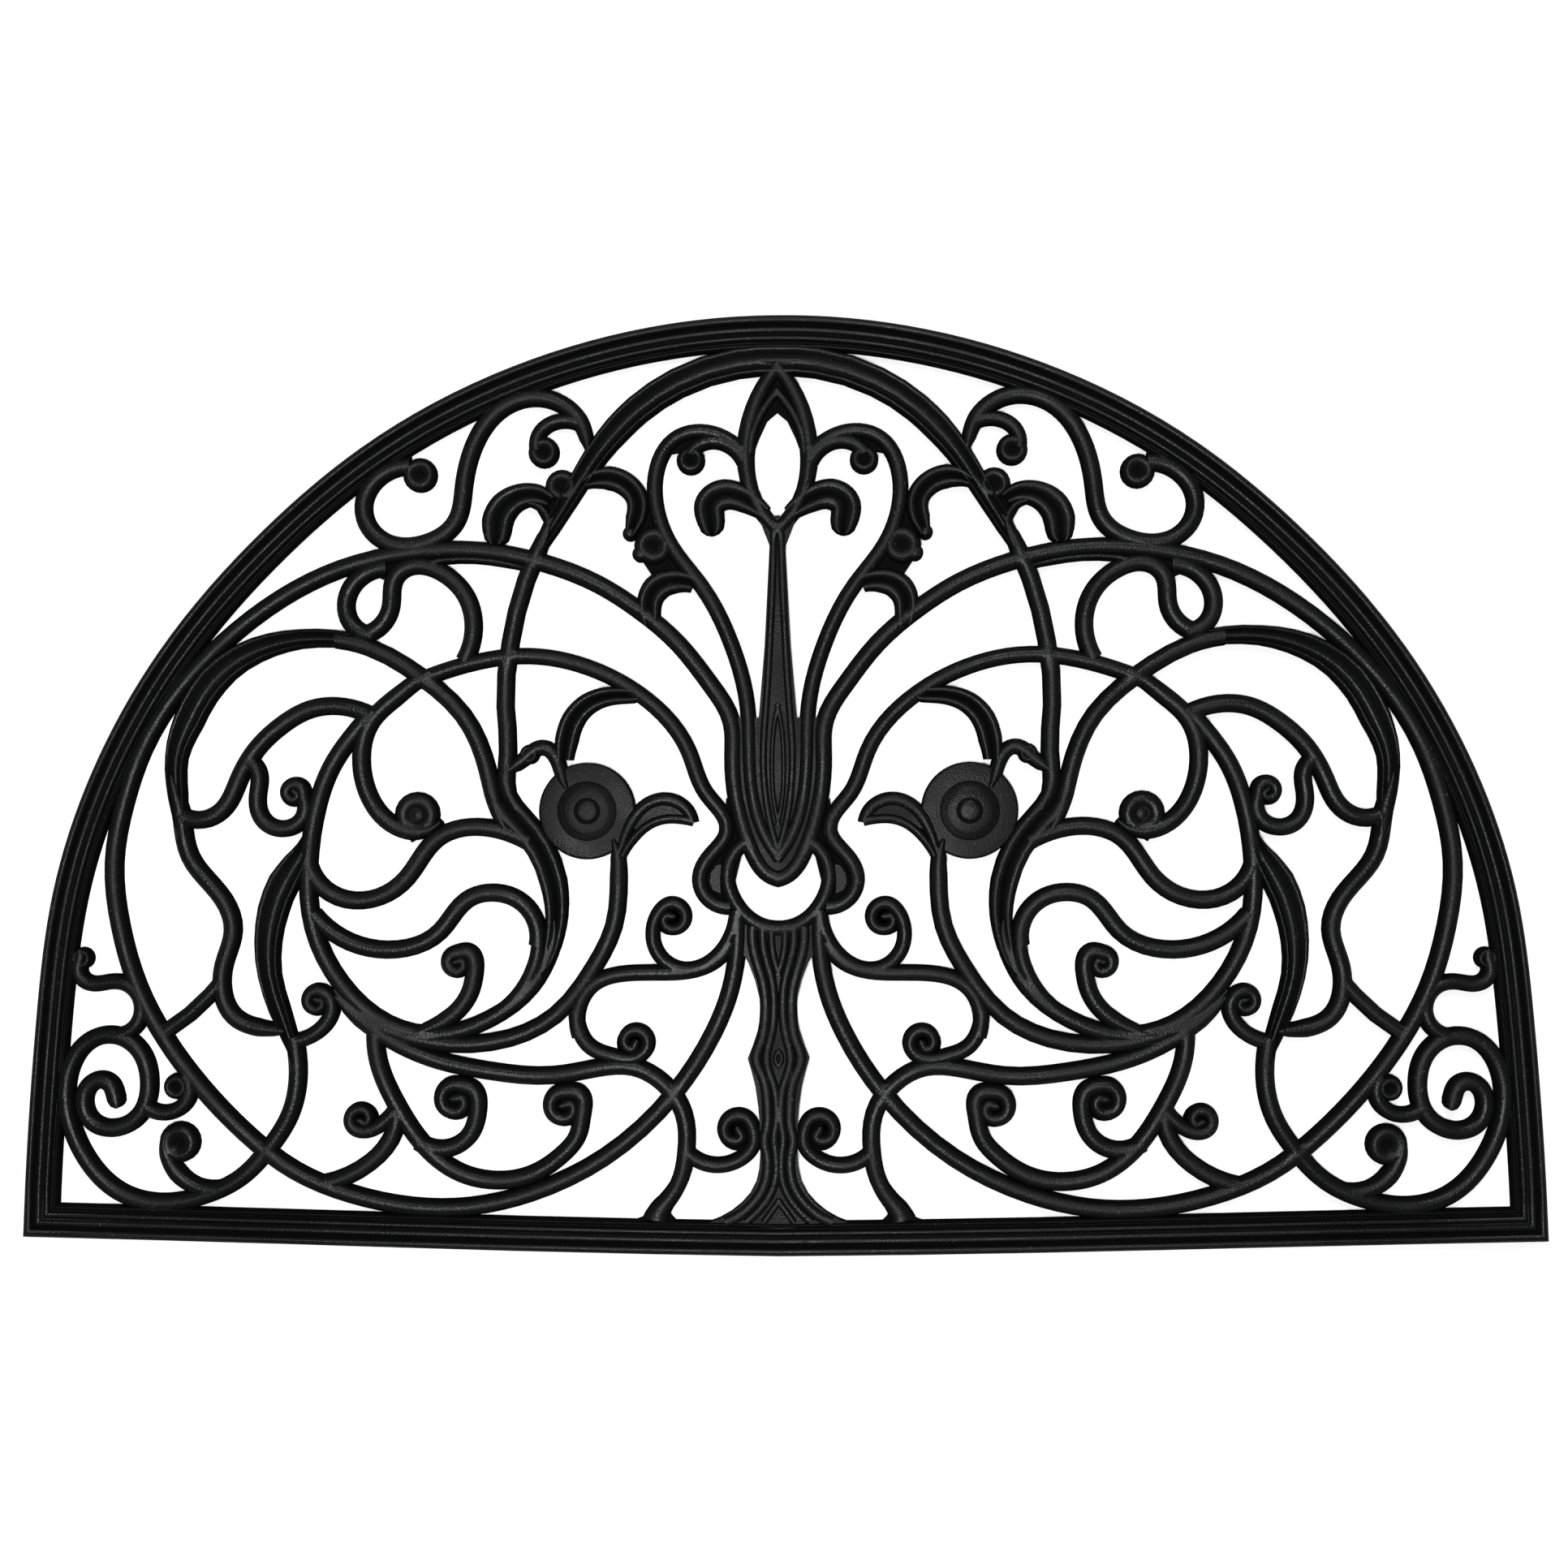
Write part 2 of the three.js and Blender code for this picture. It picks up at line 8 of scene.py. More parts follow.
import bpy
from bpy.props import FloatProperty, FloatVectorProperty, PointerProperty
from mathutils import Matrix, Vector

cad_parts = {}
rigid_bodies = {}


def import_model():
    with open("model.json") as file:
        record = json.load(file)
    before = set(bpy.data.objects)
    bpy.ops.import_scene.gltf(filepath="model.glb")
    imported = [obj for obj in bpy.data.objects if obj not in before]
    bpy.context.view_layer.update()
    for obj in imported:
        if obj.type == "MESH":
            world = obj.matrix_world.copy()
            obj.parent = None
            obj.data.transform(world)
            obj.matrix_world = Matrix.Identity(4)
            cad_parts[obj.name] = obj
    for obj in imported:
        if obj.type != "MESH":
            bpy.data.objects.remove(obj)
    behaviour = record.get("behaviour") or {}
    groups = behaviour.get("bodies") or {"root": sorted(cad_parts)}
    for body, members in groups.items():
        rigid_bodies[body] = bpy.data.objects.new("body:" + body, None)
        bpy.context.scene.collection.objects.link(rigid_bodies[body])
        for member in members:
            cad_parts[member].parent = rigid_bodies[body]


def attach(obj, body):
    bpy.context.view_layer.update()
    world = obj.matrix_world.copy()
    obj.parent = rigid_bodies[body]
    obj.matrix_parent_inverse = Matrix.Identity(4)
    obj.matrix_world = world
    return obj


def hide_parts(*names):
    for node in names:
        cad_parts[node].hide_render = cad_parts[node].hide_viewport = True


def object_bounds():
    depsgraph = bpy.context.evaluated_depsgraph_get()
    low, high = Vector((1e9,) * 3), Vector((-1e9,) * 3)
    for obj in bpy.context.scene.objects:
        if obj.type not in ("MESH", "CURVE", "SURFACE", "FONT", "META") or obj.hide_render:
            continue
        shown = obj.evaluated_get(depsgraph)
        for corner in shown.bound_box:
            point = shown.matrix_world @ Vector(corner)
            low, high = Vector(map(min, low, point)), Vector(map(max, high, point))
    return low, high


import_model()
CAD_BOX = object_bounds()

bl_info = {
    "name": "Openwork Rubber Doormat",
    "version": (1, 0, 0),
    "blender": (4, 5, 0),
    "location": "3D View > Sidebar > Doormat",
    "description": "Models a half-round openwork rubber doormat on a pale studio floor",
    "category": "Object",
}

MM = 0.001
MAT_WIDTH = 762
MAT_DEPTH = 470
FRONT_BOW = 5
CORNER_RISE = 3.6
# The tables count y from the front edge, and the frame from the middle of the depth.
FRONT_TO_MIDDLE = MAT_DEPTH / 2 - FRONT_BOW

# Every piece is drawn from below the floor, and the joined mat is cut level there.
UNDER = -1
CREST = 8
BAR_WIDTH = 9.1
WEB = 4.4
SPINE = 6
ISLAND = 6.2

# Sections of bars, from one foot over the crest to the other: across in half widths, and height.
BAR_SECTION = [
    (-1, UNDER), (-0.99, 3.2), (-0.9, 5.3), (-0.68, 6.9), (-0.35, 7.75), (0, CREST),
    (0.35, 7.75), (0.68, 6.9), (0.9, 5.3), (0.99, 3.2), (1, UNDER),
]
# A twin bar has two broad crests with a narrow valley between them.
TWIN_SECTION = [
    (-1, UNDER), (-0.985, 3.6), (-0.92, 5.8), (-0.82, 7.1), (-0.7, 7.8), (-0.55, CREST), (-0.4, 7.8),
    (-0.26, 7.2), (-0.13, 6.3), (0, 5.3), (0.13, 6.3), (0.26, 7.2), (0.4, 7.8), (0.55, CREST),
    (0.7, 7.8), (0.82, 7.1), (0.92, 5.8), (0.985, 3.6), (1, UNDER),
]
# The great arch and the leaves have a crest along each edge and a broad low one between them.
ARCH_SECTION = [
    (-1, UNDER), (-0.985, 3.6), (-0.93, 5.9), (-0.85, 7.2), (-0.76, 7.9), (-0.66, CREST), (-0.55, 7.5),
    (-0.42, 6.3), (-0.32, 5.8), (-0.2, 6.2), (0, 7), (0.15, 7.2), (0.3, 6.9), (0.42, 6.1), (0.5, 5.8),
    (0.57, 6.3), (0.64, 7.5), (0.72, CREST), (0.8, 7.9), (0.88, 7.2), (0.94, 5.9), (0.985, 3.6), (1, UNDER),
]
# A rib is low and broad, and ribs side by side meet in a groove.
RIB_SECTION = [
    (-1, UNDER), (-0.99, 5.6), (-0.9, 6.6), (-0.72, 7.4), (-0.4, 7.85), (0, CREST),
    (0.4, 7.85), (0.72, 7.4), (0.9, 6.6), (0.99, 5.6), (1, UNDER),
]
SECTIONS = {"single": BAR_SECTION, "twin": TWIN_SECTION, "arch": ARCH_SECTION, "rib": RIB_SECTION}

# The rim's section from its outer wall to its inner one: how far in from the edge, and height.
# It ends in a straight wall down to the lowest level.
RIM_SECTION = [
    (0, 4.4), (0.35, 6), (0.9, 7.1), (1.8, 7.8), (2.9, CREST), (3.7, 7.6), (4.4, 6.5), (5, 5.2), (5.4, 5.2),
    (5.9, 6.3), (6.5, 7.3), (7.2, 7.8), (8.2, 7.8), (9, 7.2), (9.6, 6.3), (10, 6.1), (10.4, 6.6), (11, 7.6),
    (11.8, CREST), (12.6, 7.7), (13.2, 6.8), (13.8, 5.5), (14.2, 5.4), (14.7, 6.2), (15.3, 6.9), (16, 7),
    (16.6, 6.2), (17, 4.6), (17, UNDER),
]
# Apart from the corner itself, no point of the edges lies nearer to it than this.
CORNER_CLEAR = 22
CORNER = (MAT_WIDTH / 2, CORNER_RISE)
FRONT_EDGE = [(0, -FRONT_BOW), (130, -2.8), (250, 0.4), CORNER]
ROUND_EDGE = [
    CORNER, (378.5, 55), (373.8, 116), (365.5, 176.7), (345.5, 237.7), (311.1, 298.6),
    (258, 359.4), (209, 400.1), (132.2, 440.5), (54.6, 461), (0, MAT_DEPTH - FRONT_BOW),
]

# Bars run smoothly through their points (x, y), or (x, y, width) where the width changes.
# A bar with a head winds round it, and "round" names the end that has a round cap.
# A bar that crosses the centre line stops 1 mm beyond it.
BARS = [
    {"name": "hoop", "through": [
        (20.5, 168), (20.5, 152), (24.2, 128), (32.6, 106.7), (52.5, 76), (87.4, 44.1), (124.8, 26),
        (155, 19.2), (185, 19.2), (215.2, 25.3), (243.6, 37), (268.8, 56.1), (291, 79.1), (309, 103.2),
        (322.9, 129.5), (331.8, 160), (334.9, 192), (329.6, 222), (320.2, 249), (300, 281), (279.8, 302.2),
        (249.8, 325), (220, 339.5), (185, 347.5), (150, 348.4), (118, 342.2), (90, 331.2), (69.8, 318.3),
        (49.8, 301.1), (33.2, 280), (23.3, 262), (22.5, 245), (20.5, 222), (12, 195.5), (6.5, 187.3),
        (-1, 183.6),
    ]},
    {"name": "foot", "through": [
        (61.4, 13.2, 14), (60.6, 15.8, 12), (56.4, 22, 9.4), (51, 29.8, 8.5), (46.5, 47), (47.7, 66),
        (58.2, 81.5), (73, 89.3), (90, 88.9), (113, 85.1), (145, 87.2), (170.5, 92.4), (190, 100.2),
        (210, 113.4), (216, 118.6, 7), (222, 125, 3),
    ]},
    {"name": "foot curl", "head": "foot head", "width": 8, "through": [
        (47, 48), (38, 41.5), (28, 40.4), (18.5, 44), (12.5, 52),
    ]},
    {"name": "shoulder curl", "head": "shoulder head", "width": 8, "through": [
        (101.5, 118), (100, 108), (94.5, 99.5), (84, 95), (72, 94),
    ]},
    {"name": "sickle", "head": "sickle head", "through": [
        (202.5, 110), (201.4, 92.3), (192.3, 70.6), (179.8, 51.6), (160.4, 36.3), (145, 32.4), (125, 35),
        (108, 46), (101, 55), (98.6, 66), (100, 76),
    ]},
    {"name": "sickle hook", "head": "sickle hook head", "through": [
        (181, 51.6), (164.5, 48.8), (154.6, 56.3), (151.2, 68), (153.5, 78),
    ]},
    {"name": "crook", "head": "crook head", "width": 8, "through": [(192.5, 68), (198, 62), (206, 57.5)]},
    {"name": "crook root", "through": [(192, 68), (193.3, 57.2), (205.8, 41), (229.5, 30.4)]},
    {"name": "corner scroll", "round": "last", "through": [
        (244, 104), (242, 85), (246.4, 64.7), (257, 48), (271.7, 33), (290, 24.3), (310, 20.8), (332, 26),
        (351.6, 47), (359.2, 70), (357, 90), (348, 102), (336, 105.2), (322, 97.4), (317.3, 82),
        (320.5, 67.6), (333, 58.6), (345.5, 61.1), (350.5, 72), (346, 81.3), (337, 80.6), (334, 73),
    ]},
    {"name": "rim hook", "round": "last", "width": 8, "through": [
        (334, 105), (323.5, 110.5), (320.8, 120), (326.3, 129.7), (337, 132), (347, 131.3), (352.6, 137),
        (351.5, 145),
    ]},
    {"name": "corner bud", "width": 8, "through": [
        (320, 70.5), (310, 66), (299.5, 70.4), (296.5, 78), (299, 85),
    ]},
    {"name": "corner comma", "through": [
        (280, 28), (293, 29, 8.5), (303, 36, 9.5), (308, 45, 8), (309, 52, 5), (307, 57, 3),
    ]},
    {"name": "side wave", "through": [
        (304.6, 236, 3), (303.6, 229.5, 6.5), (301, 218), (296.3, 195), (281.8, 176.5), (274.7, 158),
        (279.3, 141), (280.2, 128), (274.2, 114.6), (262, 109), (253.5, 108, 7), (248, 107.5, 4),
    ]},
    {"name": "side spur", "width": 8, "through": [(280, 133), (286.4, 125.4), (308.4, 107.4)]},
    {"name": "eye arch", "through": [
        (302, 216.5), (290, 213.6), (278.4, 220.3), (271.6, 233.7), (262.7, 249), (249.7, 261.2),
        (234.8, 269.2), (222, 270.6), (205, 266),
    ]},
    {"name": "eye hook", "head": "eye hook head", "width": 8.6, "through": [
        (267, 243), (261.8, 238), (262, 226), (258, 212.2), (247, 209.2), (239.4, 214), (237.6, 220),
        (238.6, 226.2, 8),
    ]},
    {"name": "leaf", "section": "arch", "through": [
        (235.4, 208, 4), (238, 200, 8), (242.5, 192, 13), (248.8, 182, 16), (254.3, 168, 15.5),
        (256.9, 152, 13.5), (256, 135, 11.5), (251, 118, 10.5), (245.8, 104, 8), (243.4, 96, 5),
        (242.4, 89, 3),
    ]},
    {"name": "leaf curl", "head": "leaf head", "width": 8, "through": [
        (244, 102), (234, 105.6), (225.4, 115), (225.5, 124),
    ]},
    {"name": "loop side", "through": [
        (203, 268), (215, 254.5), (225, 239.5), (231.5, 222), (236.4, 190), (234, 159.5), (219.8, 130.8),
        (196.5, 110.8), (170, 105.6), (145.2, 113.3), (124.1, 129.7), (114.6, 147), (112.2, 155, 6),
        (112, 163, 3),
    ]},
    {"name": "loop lower", "through": [
        (222.5, 128.5, 3), (217, 121.6, 7), (210, 115.8), (195, 107.6), (165, 100.8), (135, 103.7),
        (112.2, 115.1), (92.4, 139.6), (82.6, 159.8), (80, 185), (80.2, 194, 8), (81, 199, 5.5),
        (82.4, 203.4, 2.5),
    ]},
    {"name": "loop inner", "width": 8, "through": [
        (121, 160), (120.2, 150), (122.4, 140), (132.2, 123.4), (150, 111.5),
    ]},
    {"name": "waist", "section": "twin", "through": [
        (141, 236, 15), (138.8, 225, 15), (124, 206, 15), (112.8, 182, 14), (111.2, 165, 11.5),
        (113.4, 150, 9), (116, 142, 6), (119.4, 136, 3),
    ]},
    {"name": "upper wave", "through": [
        (125, 202), (138, 207.6), (155, 209.6), (171.8, 203.6), (186.7, 184.3), (205, 173.4),
        (225.3, 176.5), (236, 190),
    ]},
    {"name": "lower wave", "through": [
        (121, 150), (121.7, 162), (130.6, 173.1), (144, 176.7), (156.6, 173), (170, 157.4), (192, 148.2),
        (215.4, 151.9), (234, 166),
    ]},
    {"name": "loop hook", "head": "loop hook head", "through": [
        (187, 105, 3), (177.6, 108, 7), (167, 113), (155.2, 126.5), (152.6, 138), (156, 147),
    ]},
    {"name": "eye scroll", "through": [
        (174, 287.6, 4), (180, 284, 8), (192.3, 274.7), (204.8, 262.5), (209.6, 245), (206.7, 227.7),
        (197.3, 213.6), (183, 207.4), (174.6, 208.6, 6), (169, 212.6, 3),
    ]},
    {"name": "collar arm", "width": 8.2, "through": [
        (24, 152), (31, 143), (42, 138), (58, 136.6), (76, 136.2), (92.8, 130.8), (100.8, 117),
        (99.8, 105),
    ]},
    {"name": "collar curl", "head": "collar head", "width": 7.5, "through": [
        (21, 167), (24.2, 154.5), (33.6, 142.6), (48.3, 138.4), (60.4, 146.5), (62.8, 159), (59, 168),
    ]},
    {"name": "side arch", "width": 8.2, "through": [
        (24, 169.5), (35, 173.6), (39.2, 184.5), (32.2, 197.2), (25.6, 207.7), (36, 226.2), (44.6, 247),
        (65.6, 273.2), (95.2, 289.6), (125, 295.4), (155, 291.6), (182, 282.5),
    ]},
    {"name": "cup ring", "width": 8, "through": [
        (-1, 158.6), (12, 161.7), (22, 172.4), (25.6, 186), (20.5, 198.5), (14, 203),
    ]},
    {"name": "tulip", "width": 8, "through": [
        (-1, 193.5), (7.5, 207), (13, 227), (14.5, 250), (15.3, 270), (23, 300.3), (38.3, 330.2),
        (53.2, 350), (60.4, 368), (60.2, 389.5), (51.8, 403.2), (38, 407.2), (24, 402.5), (16, 395),
    ]},
    {"name": "finial", "through": [
        (-1, 440, 7.6), (9.4, 424.6, 8.5), (15.7, 400, 9.5), (13.2, 377.5, 8), (-1, 357, 7.6),
    ]},
    {"name": "finial curl", "width": 7.5, "through": [(17, 392), (24, 400), (34, 402.3), (44, 396)]},
    {"name": "finial leaf", "round": "last", "section": "twin", "through": [
        (6, 366, 8), (16, 373, 13), (26.5, 375.8, 15.5), (34, 370, 15.8), (33.2, 362, 14),
    ]},
    {"name": "great arch", "section": "arch", "through": [
        (-1, 442.6, 15.4), (20, 441.4, 15.4), (50, 431.7, 15.2), (70, 418.6, 14.8), (80, 409, 14.4),
        (90, 396.9, 12.6), (98.2, 384.4, 11), (106.6, 370.8, 10), (113.6, 359.4, 9), (118.6, 350.6, 7),
    ]},
    {"name": "middle bar", "through": [
        (112, 364.5, 3), (117.2, 354.6, 7.6), (121, 346), (126.4, 333), (134.2, 302), (136.8, 270),
        (135.6, 247, 9.2), (136.4, 236, 9), (134.8, 227, 7), (131, 218, 3),
    ]},
    {"name": "shoulder scroll", "through": [
        (94.6, 397.6, 3), (95.6, 404, 7.4), (99.6, 413.6), (116, 424.5), (136.8, 420.6), (152.2, 401.4),
        (157.6, 380), (161.6, 362.9), (175.2, 352.8), (195.8, 352.4), (208, 368), (199.4, 386.2),
        (184, 391),
    ]},
    {"name": "shoulder hook", "width": 7.5, "through": [
        (99, 411.5), (109.5, 413), (119.5, 406.5), (120.5, 398),
    ]},
    {"name": "crescent", "round": "last", "section": "twin", "through": [
        (96.5, 381, 5), (91, 383.8, 9.5), (84.5, 384.4, 12), (75, 380.4, 12), (69.8, 372, 11.5),
        (70.9, 363.5, 11), (73, 357.5, 7),
    ]},
    {"name": "cusp", "round": "last", "section": "twin", "through": [
        (42, 331, 9), (52, 332.6, 12.5), (61, 328.8, 14), (64.3, 321, 12.5), (64, 315, 11),
    ]},
    {"name": "wing", "round": "last", "section": "twin", "through": [
        (113.5, 372.5, 8), (120, 375.8, 11), (128.5, 375.5, 13), (136.7, 370.5, 15.5), (140.5, 363, 16),
        (140.8, 357.6, 14.5),
    ]},
    {"name": "wing root", "width": 5, "through": [
        (124, 371.5, 3), (118.6, 369.6), (114.8, 364.2), (115, 357), (118, 349, 4),
    ]},
    {"name": "hoop ledge", "width": 4, "crest": 7.2, "through": [
        (126, 339.2, 3), (138, 342), (152, 343.8), (168, 343.4), (180, 341.4, 3),
    ]},
    {"name": "side scroll", "through": [
        (157.6, 293), (152.8, 312), (157.6, 327.3), (169.5, 337.9), (184, 340.8), (192.7, 334),
        (194.5, 320.5), (205.8, 307),
    ]},
    {"name": "side loop", "through": [
        (203, 306.3), (213.4, 310.8), (216.8, 324), (208.9, 336), (196, 340),
    ]},
    {"name": "side bow", "through": [
        (133.5, 205, 3), (139, 213.4, 7), (143, 226), (147.8, 245), (158.2, 265.9), (178.4, 284.5),
        (205.2, 299.9), (222, 304),
    ]},
    {"name": "side bow twin", "section": "arch", "through": [
        (214, 303.3, 8.5), (240, 304.4, 10), (262.5, 299, 13), (284.6, 283.6, 15.5), (297, 263, 15),
        (303, 245, 11), (302.4, 226, 9.4), (301, 215, 7), (298.8, 205, 3),
    ]},
    {"name": "fan", "round": "first", "section": "twin", "through": [
        (72, 275.5, 8), (84, 275.2, 9.5), (95, 271.4, 11), (102.6, 263.3, 12), (106, 253, 12),
        (107, 243, 9),
    ]},
    {"name": "fan hook", "width": 8, "through": [
        (105.6, 229, 3), (108.4, 235.6, 7), (111.4, 244.5), (118.4, 249.4), (126.4, 244.6),
        (131.4, 240.6, 7), (135.4, 237.4, 3),
    ]},
    {"name": "petal", "width": 7.4, "through": [
        (42.6, 211.6, 6), (45.2, 217.4, 7), (51, 222, 7.4), (58.5, 223.2, 7.4), (66, 220.4, 7.4),
        (72.5, 213.5, 7.4), (77, 204, 6), (80, 195, 4),
    ]},
    {"name": "petal foot", "width": 5, "through": [
        (42.4, 212.2, 5), (49, 213.6, 5.4), (57, 213.6, 5.4), (65, 210.6, 5.2), (72, 204.4, 5),
        (78, 195, 4),
    ]},
]

# Round beads that curls end in, each with the shape of its face where it isn't dimpled.
BEADS = [
    {"name": "collar bead", "x": 62, "y": 350.3, "radius": 9.8},
    {"name": "arch bead", "x": 108, "y": 380.3, "radius": 8.3},
    {"name": "finial bead", "x": 43.3, "y": 392.8, "radius": 7.2},
    {"name": "hook bead", "x": 117, "y": 397.3, "radius": 7.8},
    {"name": "scroll bead", "x": 179.3, "y": 386.3, "radius": 8.6},
    {"name": "eye bead", "x": 181.2, "y": 216, "radius": 11.4, "shape": "eye"},
    {"name": "bud", "x": 303, "y": 79.5, "radius": 6.6},
    {"name": "comma", "x": 301.7, "y": 51.3, "radius": 10.3},
    {"name": "hook knob", "x": 350.7, "y": 144, "radius": 5.5},
    {"name": "crescent knob", "x": 73.8, "y": 356.4, "radius": 3.8, "shape": "dome"},
    {"name": "collar knob", "x": 68.6, "y": 346.2, "radius": 4.2, "shape": "dome"},
    {"name": "fan head", "x": 124.5, "y": 246, "radius": 5},
]

# Flat plates between bars, raised to the level that is named.
PLATES = [
    {"name": "post", "level": "spine", "outline": [
        (-1, 9), (36, 11.5), (29.5, 14), (23.8, 17.2), (18.6, 21.4), (14.4, 26.2), (11.4, 32), (9.8, 39),
        (9.2, 47), (9.4, 60), (10.2, 70), (11.6, 80), (13.6, 88), (15.4, 94), (13, 100), (10.4, 108),
        (9, 116), (9.4, 124), (11.6, 133), (15, 142), (20, 150), (20, 166), (-1, 161),
    ]},
    {"name": "spear", "level": "spine", "outline": [
        (-1, 186), (6, 189), (14, 203), (19, 222), (20, 264), (9.5, 264), (6.5, 300), (3.9, 350), (9, 363),
        (-1, 365),
    ]},
    {"name": "collar web", "level": "web", "outline": [
        (24, 172), (38, 178), (27, 207), (26, 224), (18, 214), (17, 201),
    ]},
    {"name": "collar island", "level": "island", "outline": [
        (28.4, 191), (30.8, 190.4), (33.4, 186.6), (34.2, 182), (32.6, 178.2), (28.8, 176.4), (29, 184),
    ]},
    {"name": "petal web", "level": "spine", "outline": [
        (44, 214), (47, 219), (52, 222), (60, 222), (68, 217), (74, 208), (66, 210), (58, 213),
    ]},
    {"name": "foot web", "level": "web", "outline": [
        (51, 12), (74, 12), (66, 15), (62, 20), (56, 20), (54, 15),
    ]},
    {"name": "finial web", "level": "web", "outline": [
        (-1, 438), (8, 424), (13, 405), (12, 396), (9, 404), (5, 412.5), (-1, 417.5),
    ]},
    {"name": "curl web", "level": "web", "outline": [
        (30, 405), (46, 404), (54, 396), (49, 397), (40, 399),
    ]},
    {"name": "bead web", "level": "web", "outline": [
        (48, 344), (46, 335), (62, 334), (70, 346), (62, 356),
    ]},
    {"name": "crescent web", "level": "web", "outline": [(58, 352), (60, 374), (68, 374), (72, 356)]},
    {"name": "wing web", "level": "web", "outline": [
        (102, 377), (110, 376), (120, 377), (121, 369), (116.5, 361), (118, 351), (112, 357),
    ]},
    {"name": "eye web", "level": "web", "outline": [(168, 212), (184, 202), (187, 208), (174, 218)]},
    {"name": "loop web", "level": "web", "outline": [(188, 343), (196, 333), (203, 336), (200, 344)]},
]

# Narrow ribs on the post, the spear and the arch at the tip, which they stand on or beside.
# One that crosses the centre line stops about half a millimetre beyond it.
RIBS = [
    {"name": "post inner rib", "section": "rib", "width": 4.2, "crest": 7.8, "through": [
        (3.2, 160.5), (3.4, 153), (2.2, 144), (-0.6, 135.5),
    ]},
    {"name": "post middle rib", "section": "rib", "width": 5, "crest": 7.9, "through": [
        (7.6, 160.5), (7.8, 153), (6, 143), (3.2, 133), (2.2, 121), (2.7, 111), (4.3, 103), (6, 94),
        (4.3, 86), (2, 79), (1, 70), (1.2, 62), (2.3, 55), (1.6, 47), (1.2, 40), (2.1, 32), (5.4, 24.5),
        (10.4, 18), (16.6, 12.4),
    ]},
    {"name": "post outer rib", "section": "rib", "width": 5.8, "crest": 7.9, "through": [
        (12.8, 160), (12.9, 153), (10.9, 143), (7.7, 132), (6.4, 121), (6.9, 111), (8.8, 102), (11.3, 94),
        (8.4, 86), (6.2, 78), (5.6, 70), (5.8, 60), (7.2, 53), (5.9, 46), (5.7, 38), (7.6, 29.8),
        (11.8, 23), (18.2, 16.8), (26.6, 12.4),
    ]},
    {"name": "post diamond", "section": "rib", "width": 3, "crest": 7.5, "through": [
        (-0.6, 98), (1.6, 94), (-0.6, 90),
    ]},
    {"name": "post foot rib", "section": "rib", "width": 3.8, "crest": 7.6, "through": [
        (-0.6, 23.6), (3.6, 17.8), (7.6, 12.2),
    ]},
    {"name": "tip arch rib", "section": "rib", "width": 4.2, "crest": 7.7, "through": [
        (-0.6, 427.4), (4.6, 421), (9.2, 413.6), (12.4, 405), (13.4, 396),
    ]},
    {"name": "spear slot rib", "section": "rib", "width": 2.8, "crest": 7.5, "through": [
        (-0.6, 271), (1.4, 263), (2.7, 250), (3, 238), (2.3, 225), (-0.5, 210),
    ]},
    {"name": "spear side rib", "section": "rib", "width": 4, "crest": 7.6, "through": [
        (1.8, 362), (2.2, 340), (3.2, 315), (4.4, 292), (5.8, 270), (7.1, 252), (7.2, 238), (5.6, 221),
        (2.6, 206), (-0.6, 197),
    ]},
]


# Round heads that bars wind into, and the bar's width at the end.
# The bar winds on past a full turn, in degrees, and ends close to the middle.
HEADS = {
    "foot head": {"x": 20.5, "y": 57.8, "radius": 11.6, "end": 6.4},
    "shoulder head": {"x": 72, "y": 101.7, "radius": 10.6, "end": 5.8},
    "sickle head": {"x": 107.3, "y": 70, "radius": 11.8, "end": 6.4},
    "sickle hook head": {"x": 162, "y": 73.3, "radius": 12, "end": 6.4},
    "crook head": {"x": 209.6, "y": 63, "radius": 9.8, "end": 5.2},
    "leaf head": {"x": 231.6, "y": 122.6, "radius": 9.2, "end": 5.2},
    "loop hook head": {"x": 161, "y": 141.8, "radius": 9.4, "end": 5.2},
    "collar head": {"x": 53.2, "y": 164.4, "radius": 10.6, "end": 5.4},
    "eye hook head": {"x": 243, "y": 227, "radius": 8.6, "end": 4.8},
}
WIND_STEP = 45
WIND_SWEEP = 385
WIND_END = 0.7
# The higher this power, the longer the bar stays at the head's edge before it turns in.
WIND_POWER = 4
# A low disc inside each head fills it, this much smaller than the head.
HEAD_BASE_INSET = 1.5
HEAD_SIDES = 20
# Points of a round cap, as degrees from the side to the tip.
CAP_DEGREES = (35, 62, 84)

# Steps of a bead's and a roundel's face: how far in from the edge, and height.
# A bead's steps inwards are shares of its radius.
BEAD_STEPS = {
    "dimple": [
        (0, 3.6), (0.06, 5.6), (0.16, 6.9), (0.3, 7.7), (0.42, 7.7), (0.56, 7), (0.7, 6), (0.84, 5),
        (0.93, 4.6),
    ],
    "eye": [
        (0, 3.6), (0.06, 5.6), (0.16, 6.9), (0.3, 7.5), (0.48, 7.3), (0.6, 6.5), (0.68, 5.7),
        (0.76, 5.7), (0.88, 6.2),
    ],
    "dome": [(0, 3.6), (0.08, 5.2), (0.25, 6.6), (0.5, 7.4), (0.75, 7.7)],
}
ROUNDEL = {"x": 95.5, "y": 217.6, "radius": 24.2, "sides": 56}
ROUNDEL_STEPS = [
    (0, 5.3), (0.4, 6), (1.2, 6.2), (9.3, 6.2), (9.7, 5.4), (10.3, 5.4), (13, 6), (13.4, 6.15), (17.5, 6.15),
    (17.9, 5.4), (18.3, 5.4), (18.8, 6), (20.2, 6.3), (22.2, 6.4),
]

# How the curves are drawn: bends of the rim's edges, and the rings between two points of a table.
EDGE_STEP = math.radians(1)
RINGS_LEAST = 2
RINGS_MOST = 8
# Faces that meet at less than this angle are shaded as one round surface.
SHARP = math.radians(50)
